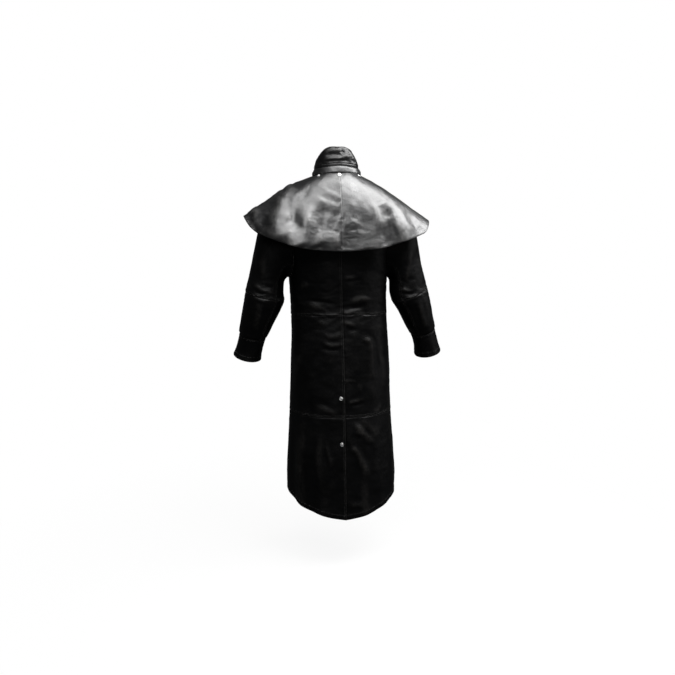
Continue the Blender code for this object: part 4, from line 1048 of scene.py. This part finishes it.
shawl.lay("back", [(-0.158, -0.065), (-0.177, -0.124), (-0.187, -0.186), (-0.199, -0.261)], 0.0126, -0.0072, width_end=0.0210, fade=(0.35, 0.0))
shawl.lay("back", [(-0.111, -0.078), (-0.127, -0.121), (-0.136, -0.176)], 0.0108, 0.0033, width_end=0.0150, fade=(0.35, 0.35))
shawl.lay("back", [(-0.142, -0.079), (-0.152, -0.123), (-0.162, -0.178)], 0.0128, -0.0018, width_end=0.0151, fade=(0.35, 0.35))
shawl.lay("back", [(-0.003, -0.159), (-0.052, -0.159), (-0.097, -0.163)], 0.0180, 0.0023, width_end=0.0180, fade=(0.1, 0.5))
shawl.lay("back", [(-0.028, -0.151), (-0.030, -0.198), (-0.026, -0.257)], 0.0237, -0.0008, width_end=0.0237, fade=(0.4, 0.0))
shawl.lay("back", [(-0.073, -0.152), (-0.080, -0.200), (-0.090, -0.258)], 0.0235, 0.0045, width_end=0.0283, fade=(0.4, 0.0))
shawl.lay("back", [(-0.117, -0.165), (-0.127, -0.209), (-0.137, -0.260)], 0.0257, 0.0040, width_end=0.0308, fade=(0.4, 0.0))
shawl.lay("all", [(-0.101, 0.000), (-0.168, -0.048), (-0.226, -0.097), (-0.279, -0.157)], 0.0146, 0.0015, width_end=0.0146, fade=(0.3, 0.3))
shawl.lay("all", [(-0.239, -0.099), (-0.284, -0.144), (-0.326, -0.197)], 0.0148, -0.0030, width_end=0.0185, fade=(0.4, 0.0))
shawl.lay("all", [(-0.195, -0.151), (-0.228, -0.199), (-0.256, -0.245)], 0.0164, 0.0016, width_end=0.0197, fade=(0.35, 0.0))
shawl.lay("back", [(-0.004, -0.166), (-0.087, -0.178), (-0.154, -0.181)], 0.0411, -0.0025, width_end=0.0411, fade=(0.1, 0.4))
shawl.lay("back", [(-0.002, -0.222), (-0.077, -0.226), (-0.151, -0.223)], 0.0199, -0.0015, width_end=0.0199, fade=(0.1, 0.4))
shawl.lay("all", [(0.232, -0.070), (0.260, -0.124), (0.274, -0.189), (0.283, -0.261)], 0.0330, 0.0095, width_end=0.0440, fade=(0.4, 0.0))
shawl.lay("back", [(0.225, -0.162), (0.204, -0.213), (0.191, -0.264)], 0.0363, 0.0189, width_end=0.0435, fade=(0.4, 0.0))
shawl.lay("all", [(-0.176, -0.119), (-0.212, -0.175), (-0.251, -0.227)], 0.0172, 0.0021, width_end=0.0191, fade=(0.4, 0.1))
shawl.lay("back", [(-0.132, -0.161), (-0.157, -0.208), (-0.172, -0.257)], 0.0332, -0.0124, width_end=0.0387, fade=(0.4, 0.0))
shawl.lay("back", [(-0.151, -0.079), (-0.161, -0.101), (-0.170, -0.138)], 0.0192, 0.0025, width_end=0.0255, fade=(0.3, 0.5))
# the cape's front, of the same kind
for sgn in (1, -1):
    shawl.lay("front", [(sgn * 0.150, -0.050), (sgn * 0.196, -0.110), (sgn * 0.226, -0.200)], 0.0150, 0.0075, width_end=0.022, fade=(0.35, 0.0))
    shawl.lay("front", [(sgn * 0.112, -0.070), (sgn * 0.150, -0.140), (sgn * 0.172, -0.240)], 0.0140, -0.0065, width_end=0.020, fade=(0.35, 0.0))
    shawl.lay("front", [(sgn * 0.078, -0.090), (sgn * 0.106, -0.160), (sgn * 0.116, -0.262)], 0.0120, 0.0060, width_end=0.018, fade=(0.35, 0.0))
    shawl.lay("front", [(sgn * 0.200, -0.052), (sgn * 0.252, -0.110), (sgn * 0.290, -0.180)], 0.0140, -0.0050, width_end=0.020, fade=(0.35, 0.0))
    shawl.lay("front", [(sgn * 0.036, -0.120), (sgn * 0.070, -0.128 - 0.01 * sgn), (sgn * 0.110, -0.110)], 0.0070, 0.0026)

ruff = Creases([grids[n] for n in COLLARS])
ruff.lay("back", [(0.060, 0.098), (0.040, 0.108), (0.012, 0.108), (-0.010, 0.107)], 0.0110, 0.0046, fade=(0.2, 0.3))
ruff.lay("back", [(0.066, 0.072), (0.034, 0.077), (0.000, 0.079), (-0.032, 0.085), (-0.050, 0.090)], 0.0052, 0.0022, width_end=0.0075, fade=(0.2, 0.3))
ruff.lay("back", [(0.074, 0.062), (0.040, 0.067), (0.006, 0.069), (-0.030, 0.068), (-0.058, 0.058)], 0.0048, -0.0022)
ruff.lay("back", [(0.056, 0.088), (0.030, 0.092), (0.004, 0.091), (-0.008, 0.088)], 0.0070, -0.0020, fade=(0.2, 0.3))
ruff.lay("back", [(-0.006, 0.108), (-0.013, 0.101), (-0.021, 0.096)], 0.0046, -0.0030)
ruff.lay("back", [(0.004, 0.102), (-0.004, 0.094), (-0.018, 0.087), (-0.034, 0.084)], 0.0040, 0.0024, fade=(0.3, 0.3))
ruff.lay("back", [(-0.026, 0.104), (-0.036, 0.097), (-0.040, 0.088)], 0.0046, -0.0022)
ruff.lay("back", [(-0.040, 0.076), (-0.054, 0.068), (-0.062, 0.056)], 0.0060, -0.0020)
for sgn in (1, -1):
    ruff.lay("front", [(sgn * 0.030, 0.010), (sgn * 0.050, 0.026), (sgn * 0.066, 0.040)], 0.0070, 0.0024)
    ruff.lay("front", [(sgn * 0.026, -0.010), (sgn * 0.048, 0.006), (sgn * 0.070, 0.020)], 0.0060, -0.0022)


def body_height(p, n):
    z = p[:, 2]
    turn = np.arctan2(p[:, 0], p[:, 1])
    down = smooth((-0.62 - z) / 0.62)
    drape = 0.0026 * np.cos(turn * 9 + 0.7 + z * 2.0) + 0.0018 * np.cos(turn * 14 + 2.1 - z * 3.0) + 0.0012 * np.cos(turn * 5 - 1.1)
    h = drape * down * smooth((np.abs(turn) - 0.12) / 0.35)
    h += 0.0016 * lattice(p, (0.085, 0.085, 0.120), 1) + 0.0007 * lattice(p, (0.034, 0.034, 0.026), 2)
    waist = bump((z + 0.47) / 0.13)
    net = lattice(p + 0.012 * np.stack([lattice(p, 0.05, 7), lattice(p, 0.05, 8), lattice(p, 0.05, 9)], -1), (0.050, 0.050, 0.017), 3)
    h += (0.0005 + 0.0013 * waist) * (0.5 - np.abs(net) * 1.6)
    h += 0.00018 * lattice(p, 0.011, 4)
    return h + body.height(p, n)


def arm_height(p, n, side):
    z = p[:, 2]
    fade = smooth((np.abs(p[:, 0]) - 0.205) / 0.03)
    bend = bump((z + 0.42) / 0.075)
    net = lattice(p + 0.010 * np.stack([lattice(p, 0.04, 7), lattice(p, 0.04, 8), lattice(p, 0.04, 9)], -1), (0.045, 0.045, 0.014), 13)
    h = 0.0013 * lattice(p, (0.050, 0.050, 0.085), 11) + 0.0006 * lattice(p, (0.022, 0.022, 0.040), 12)
    h += (0.0004 + 0.0016 * bend) * (0.5 - np.abs(net) * 1.6)
    h += 0.00016 * lattice(p, 0.010, 14)
    h += arms.height(p, n)
    return h * fade


def cape_height(p, n):
    h = 0.0014 * lattice(p, (0.070, 0.070, 0.070), 21) + 0.0007 * lattice(p, (0.028, 0.028, 0.034), 22)
    net = lattice(p + 0.008 * np.stack([lattice(p, 0.04, 7), lattice(p, 0.04, 8), lattice(p, 0.04, 9)], -1), (0.024, 0.024, 0.016), 23)
    mottled = smooth((-0.10 - p[:, 2]) / 0.08) * bump((p[:, 0] + 0.02) / 0.15)
    h += (0.0002 + 0.0009 * mottled) * (0.5 - np.abs(net) * 1.5)
    h += 0.00014 * lattice(p, 0.009, 24)
    return h + shawl.height(p, n)


def collar_height(p, n):
    h = 0.0009 * lattice(p, 0.030, 31) + 0.0004 * lattice(p, 0.013, 32)
    net = lattice(p, (0.030, 0.030, 0.010), 33)
    h += 0.0007 * (0.5 - np.abs(net) * 1.6)
    return h + ruff.height(p, n)


def flat_of(name, g):
    return g[..., :3].reshape(-1, 3), g[..., 3:6].reshape(-1, 3)


# ---------------------------------------------------------------- building the shells
def borders_of(name):
    lap = {"a0": None, "a1": None, "b0": None, "b1": None}
    if name.startswith(("back_", "front_")) and name != "front_placket":
        back = name.startswith("back_")
        left = name.endswith("left")
        lap["a0"] = "hem" if "lower" in name else "under"
        lap["a1"] = "plain" if "upper" in name else "under"
        if "middle" in name or "upper" in name:
            lap["a0"] = "over"
        lap["b0"] = ("over" if left else "under") if back else "plain"
        lap["b1"] = "over" if back else "under"
    elif name.startswith("sleeve_"):
        upper = "upper" in name
        lap["a0"] = "edge" if upper else "under"
        lap["a1"] = "over" if upper else "under"
        lap["b0"] = lap["b1"] = "over" if "top" in name else "under"
    elif name.startswith("cuff_"):
        lap["a0"], lap["a1"] = "edge", "hem"
    elif name.startswith("cape_back") or name.startswith("cape_front"):
        lap["a0"], lap["a1"] = "plain", "edge"
        if name.startswith("cape_back"):
            lap["b0"] = "soft_over" if name.endswith("left") else "soft_under"
            lap["b1"] = "soft_over"
        else:
            lap["b0"], lap["b1"] = "soft_under", "edge"
    elif name == "cape_neckband":
        lap["a0"] = lap["a1"] = "plain"
        lap["b0"], lap["b1"] = "edge", "under"
    elif name == "collar_stand":
        lap["a0"] = lap["a1"] = "plain"
        lap["b0"], lap["b1"] = "plain", "under"
    elif name == "collar_fall":
        lap["a0"] = lap["a1"] = "edge"
        lap["b0"], lap["b1"] = "over", "edge"
    elif name == "vent_underlap":
        lap = dict.fromkeys(lap, "plain")
    elif name == "front_placket":
        lap = dict(a0="edge", a1="edge", b0="edge", b1="edge")
    return lap


for name, g in grids.items():
    p, n = flat_of(name, g)
    wall, closed, slot, mats = WALL, False, "black_leather", (BODY, FLESH)
    if name.startswith(("back_", "front_")) or name == "vent_underlap":
        h = body_height(p, n)
        if name.startswith("back_") and ("lower" in name or "middle" in name):
            near = bump(p[:, 0] / 0.017 - run(SWAY, p[:, 2])[:, 0] / 0.017) * smooth((VENT_TOP - p[:, 2]) / 0.10)
            h = h + near * (0.0021 if name.endswith("left") else -0.0005)
    elif name.startswith("cape_"):
        h = cape_height(p, n)
        if name == "cape_neckband":
            low, high = g[..., 6].reshape(-1), g[..., 7].reshape(-1)
            h = 0.3 * collar_height(p, n) + 0.0014 * high / (low + high) * smooth((p[:, 1] + 0.02) / 0.06)
        slot, mats = "cape_leather", (SHINY, FLESH)
    elif name.startswith("collar_"):
        h = collar_height(p, n)
        mats = (NECK, FLESH)
    else:
        h = arm_height(p, n, 1)
        if name.startswith("cuff_"):
            wall, closed = 0.0026, True
    leather_piece(name, g, h, borders_of(name), mats, wall, closed)

# ---------------------------------------------------------------- stitching
def at_distance(dist, key, want):
    """For each line of the grid that meets a border, the fractional index that is `want` metres from it."""
    d = dist[key]
    if key[0] == "a":
        d = d.T
    rev = key[1] == "1"
    out = []
    for row in d:
        r = row[::-1] if rev else row
        f = np.interp(want, r, np.arange(len(r)))
        out.append(len(r) - 1 - f if rev else f)
    return np.array(out)


def thread_line(name, key, want, skip=0.0):
    """Points and normals along a line of stitches at a set distance from a border."""
    p, n, dist, _ = BUILT[name]
    f = at_distance(dist, key, want)
    if key[0] == "a":
        p, n = p.transpose(1, 0, 2), n.transpose(1, 0, 2)
    k = np.clip(np.floor(f).astype(int), 0, p.shape[1] - 2)
    w = (f - k)[:, None]
    r = np.arange(len(f))
    line = p[r, k] * (1 - w) + p[r, k + 1] * w
    up = n[r, k] * (1 - w) + n[r, k + 1] * w
    return line, up / np.linalg.norm(up, axis=1, keepdims=True)


def stitches(line, up, pitch=0.0044, length=0.0033, radius=0.00042):
    """Small spindles laid end to end along a line, six-sided."""
    d = np.concatenate([[0], np.cumsum(np.linalg.norm(np.diff(line, axis=0), axis=1))])
    n = int((d[-1] - 0.004) / pitch)
    if n < 1:
        return np.zeros((0, 3)), np.zeros((0, 3), int)
    mid = 0.002 + pitch * (np.arange(n) + 0.5)
    ends = [np.stack([np.interp(mid + s * length / 2, d, line[:, c]) for c in range(3)], -1) for s in (-1, 1)]
    nn = np.stack([np.interp(mid, d, up[:, c]) for c in range(3)], -1)
    nn /= np.linalg.norm(nn, axis=1, keepdims=True)
    axis = ends[1] - ends[0]
    axis /= np.linalg.norm(axis, axis=1, keepdims=True)
    side = np.cross(axis, nn)
    verts, faces = [], []
    rings = ((0.0, 0.15, -0.4), (0.16, 0.85, 0.35), (0.84, 0.85, 0.35), (1.0, 0.15, -0.4))
    for share, fat, lift in rings:
        c = ends[0] * (1 - share) + ends[1] * share + nn * radius * lift
        for a in range(6):
            x = math.tau * a / 6
            verts.append(c + (side * math.cos(x) + nn * math.sin(x)) * radius * fat)
    verts = np.stack(verts, 1)  # stitch, 24, 3
    tri = []
    for r in range(3):
        for a in range(6):
            b = (a + 1) % 6
            tri += [(r * 6 + a, r * 6 + b, r * 6 + 6 + b), (r * 6 + a, r * 6 + 6 + b, r * 6 + 6 + a)]
    for a in range(1, 5):
        tri += [(0, a + 1, a), (18, 18 + a, 19 + a)]
    tri = np.array(tri)
    idx = (tri[None] + (np.arange(n) * 24)[:, None, None]).reshape(-1, 3)
    return verts.reshape(-1, 3), idx


def thread_piece(name, jobs):
    vs, fs, base = [], [], 0
    for piece, key, want in jobs:
        v, f = stitches(*thread_line(piece, key, want))
        vs.append(v)
        fs.append(f + base)
        base += len(v)
    mesh = bpy.data.meshes.new(name)
    mesh.from_pydata(np.concatenate(vs).tolist(), [], np.concatenate(fs).tolist())
    mesh.shade_smooth()
    mesh.materials.append(THREAD)
    obj = bpy.data.objects.new(name, mesh)
    coat.objects.link(obj)
    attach(obj, "root")
    return obj


groups = {"trunk": [], "sleeves": [], "cape": [], "collar": []}
for name, (_, _, _, lap) in BUILT.items():
    where = "cape" if name.startswith("cape_") else "collar" if name.startswith("collar_") else "sleeves" if name.startswith(("sleeve_", "cuff_")) else "trunk"
    for key, kind in lap.items():
        for want in STITCH_AT[kind]:
            groups[where].append((name, key, want))
for where, jobs in groups.items():
    thread_piece(f"stitching_{where}", jobs)

# ---------------------------------------------------------------- snaps
CAP = [
    (0.00, 1.00), (0.20, 0.985), (0.40, 0.93), (0.56, 0.84), (0.66, 0.74), (0.70, 0.70), (0.74, 0.72), (0.80, 0.80),
    (0.87, 0.83), (0.93, 0.78), (0.98, 0.62), (1.00, 0.40), (0.99, 0.15), (0.96, 0.00),
]


def snap_cap(node, radius, height, on):
    """A pressed snap cap with a rolled rim, seated on the leather under its CAD solid."""
    low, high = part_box(node)
    c = np.array((low + high) / 2)
    best = None
    for piece in on:
        p, n = BUILT[piece][:2]
        d = np.sum((p - c) ** 2, -1)
        k = np.unravel_index(np.argmin(d), d.shape)
        if best is None or d[k] < best[0]:
            best = (d[k], p[k], n[k])
    _, at, up = best
    # the centre of the cap: its CAD centre dropped onto the leather
    at = c - up * np.dot(c - at, up)
    steps = 36
    bm = bmesh.new()
    prev = None
    for r, z in CAP:
        if r == 0:
            ring = [bm.verts.new((0, 0, z * height))]
        else:
            ring = [bm.verts.new((r * radius * math.cos(math.tau * a / steps), r * radius * math.sin(math.tau * a / steps), z * height)) for a in range(steps)]
        if prev is not None:
            for a in range(steps):
                b = (a + 1) % steps
                if len(prev) == 1:
                    bm.faces.new((prev[0], ring[a], ring[b]))
                else:
                    bm.faces.new((prev[a], ring[a], ring[b], prev[b]))
        prev = ring
    bm.faces.new(prev[::-1])
    turn = Vector(up).to_track_quat("Z", "Y").to_matrix().to_4x4()
    bm.transform(Matrix.Translation(Vector(at + up * 0.0001)) @ turn)
    mesh = bpy.data.meshes.new(node + "_cap")
    bmesh.ops.recalc_face_normals(bm, faces=bm.faces[:])
    bm.to_mesh(mesh)
    bm.free()
    mesh.shade_smooth()
    mesh.materials.append(METAL)
    obj = bpy.data.objects.new(node + "_cap", mesh)
    coat.objects.link(obj)
    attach(obj, "root")
    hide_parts(node)


for i in (1, 2):
    snap_cap(f"vent_snap_{i}", SNAP_R, SNAP_H, ["back_middle_left", "back_lower_left"])
for i in range(1, 7):
    snap_cap(f"front_snap_{i}", SNAP_R, SNAP_H, ["front_placket"])
for name in ("back", "left", "right", "front_left", "front_right"):
    snap_cap(f"cape_snap_{name}", CAPE_SNAP_R, SNAP_H * 0.9, ["cape_back_left", "cape_back_right", "cape_front_left", "cape_front_right"])

# ---------------------------------------------------------------- stage, light, camera
scene = bpy.context.scene
FLOOR = -1.50


def stage_floor():
    mesh = bpy.data.meshes.new("floor")
    bm = bmesh.new()
    bmesh.ops.create_circle(bm, cap_ends=True, segments=96, radius=9.0)
    bm.to_mesh(mesh)
    bm.free()
    obj = bpy.data.objects.new("floor", mesh)
    obj.location = (0, 0, FLOOR)
    scene.collection.objects.link(obj)
    obj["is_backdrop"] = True
    m = bpy.data.materials.new("pale_floor")
    m.use_nodes = True
    nt = m.node_tree
    nt.nodes.clear()
    out = nt.nodes.new("ShaderNodeOutputMaterial")
    diff = nt.nodes.new("ShaderNodeBsdfDiffuse")
    diff.inputs["Color"].default_value = (0.86, 0.86, 0.86, 1)
    glow = nt.nodes.new("ShaderNodeEmission")
    glow.inputs["Color"].default_value = (1, 1, 1, 1)
    glow.inputs["Strength"].default_value = 1.0
    co = nt.nodes.new("ShaderNodeTexCoord")
    dist = nt.nodes.new("ShaderNodeVectorMath")
    dist.operation = "LENGTH"
    nt.links.new(co.outputs["Object"], dist.inputs[0])
    mix = nt.nodes.new("ShaderNodeMixShader")
    nt.links.new(span(nt, dist.outputs["Value"], 0.3, 1.5, 0.92, 1.0), mix.inputs[0])
    nt.links.new(diff.outputs[0], mix.inputs[1])
    nt.links.new(glow.outputs[0], mix.inputs[2])
    nt.links.new(mix.outputs[0], out.inputs["Surface"])
    mesh.materials.append(m)
    obj.visible_glossy = False
    obj.visible_diffuse = False
    return obj


stage_floor()


def softbox(name, at, towards, size, radiance, shape="RECTANGLE"):
    """A soft light whose face has the given brightness."""
    data = bpy.data.lights.new(name, "AREA")
    data.shape = shape
    data.size, data.size_y = size
    data.energy = radiance * math.pi * size[0] * size[1]
    obj = bpy.data.objects.new(name, data)
    obj.location = at
    obj.rotation_mode = "QUATERNION"
    obj.rotation_quaternion = (Vector(at) - Vector(towards)).to_track_quat("Z", "Y")
    scene.collection.objects.link(obj)
    obj.visible_camera = False
    return obj


softbox("key", (-1.07, 1.04, 1.94), (-0.02, 0.08, -0.12), (2.0, 1.5), 12.2)
softbox("top", (0.43, 0.88, 2.10), (-0.02, 0.08, -0.12), (1.6, 1.3), 6.3)
softbox("right", (-1.96, -0.12, 1.24), (-0.02, 0.08, -0.12), (1.3, 1.0), 10.8)
softbox("left", (0.76, 1.88, 1.36), (-0.02, 0.08, -0.12), (1.0, 0.7), 9.5)
softbox("side", (-2.60, 0.75, -0.55), (-0.10, 0.05, -0.60), (0.9, 1.5), 0.75)
softbox("fill", (-0.10, 3.45, 0.35), (0.0, 0.0, -0.60), (0.5, 0.5), 3.0)

world = bpy.data.worlds.new("studio")
scene.world = world
world.use_nodes = True
nt = world.node_tree
nt.nodes.clear()
wout = nt.nodes.new("ShaderNodeOutputWorld")
white = nt.nodes.new("ShaderNodeBackground")
white.inputs["Color"].default_value = (1, 1, 1, 1)
white.inputs["Strength"].default_value = 1.0
dim = nt.nodes.new("ShaderNodeBackground")
dim.inputs["Color"].default_value = (0.95, 0.97, 1.0, 1)
dim.inputs["Strength"].default_value = 0.045
path = nt.nodes.new("ShaderNodeLightPath")
mixw = nt.nodes.new("ShaderNodeMixShader")
nt.links.new(path.outputs["Is Camera Ray"], mixw.inputs[0])
nt.links.new(dim.outputs[0], mixw.inputs[1])
nt.links.new(white.outputs[0], mixw.inputs[2])
nt.links.new(mixw.outputs[0], wout.inputs["Surface"])

AZIMUTH, DISTANCE, HEIGHT, TILT = math.radians(173.0), 3.4, -0.02, math.radians(9.95)
cam_data = bpy.data.cameras.new("camera")
cam_data.sensor_width = 36.0
cam_data.lens = 870.0 / 675.0 * 36.0
cam_data.clip_start, cam_data.clip_end = 0.05, 60.0
cam = bpy.data.objects.new("camera", cam_data)
away = Vector((math.sin(AZIMUTH), -math.cos(AZIMUTH), 0.0))
cam.location = away * DISTANCE + Vector((0, 0, HEIGHT))
look = -away * math.cos(TILT) + Vector((0, 0, -math.sin(TILT)))
cam.rotation_mode = "QUATERNION"
cam.rotation_quaternion = look.to_track_quat("-Z", "Y")
scene.collection.objects.link(cam)
scene.camera = cam
scene.view_settings.view_transform = "Standard"
scene.view_settings.look = "None"

low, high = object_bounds()
print("cuts", CUTS)
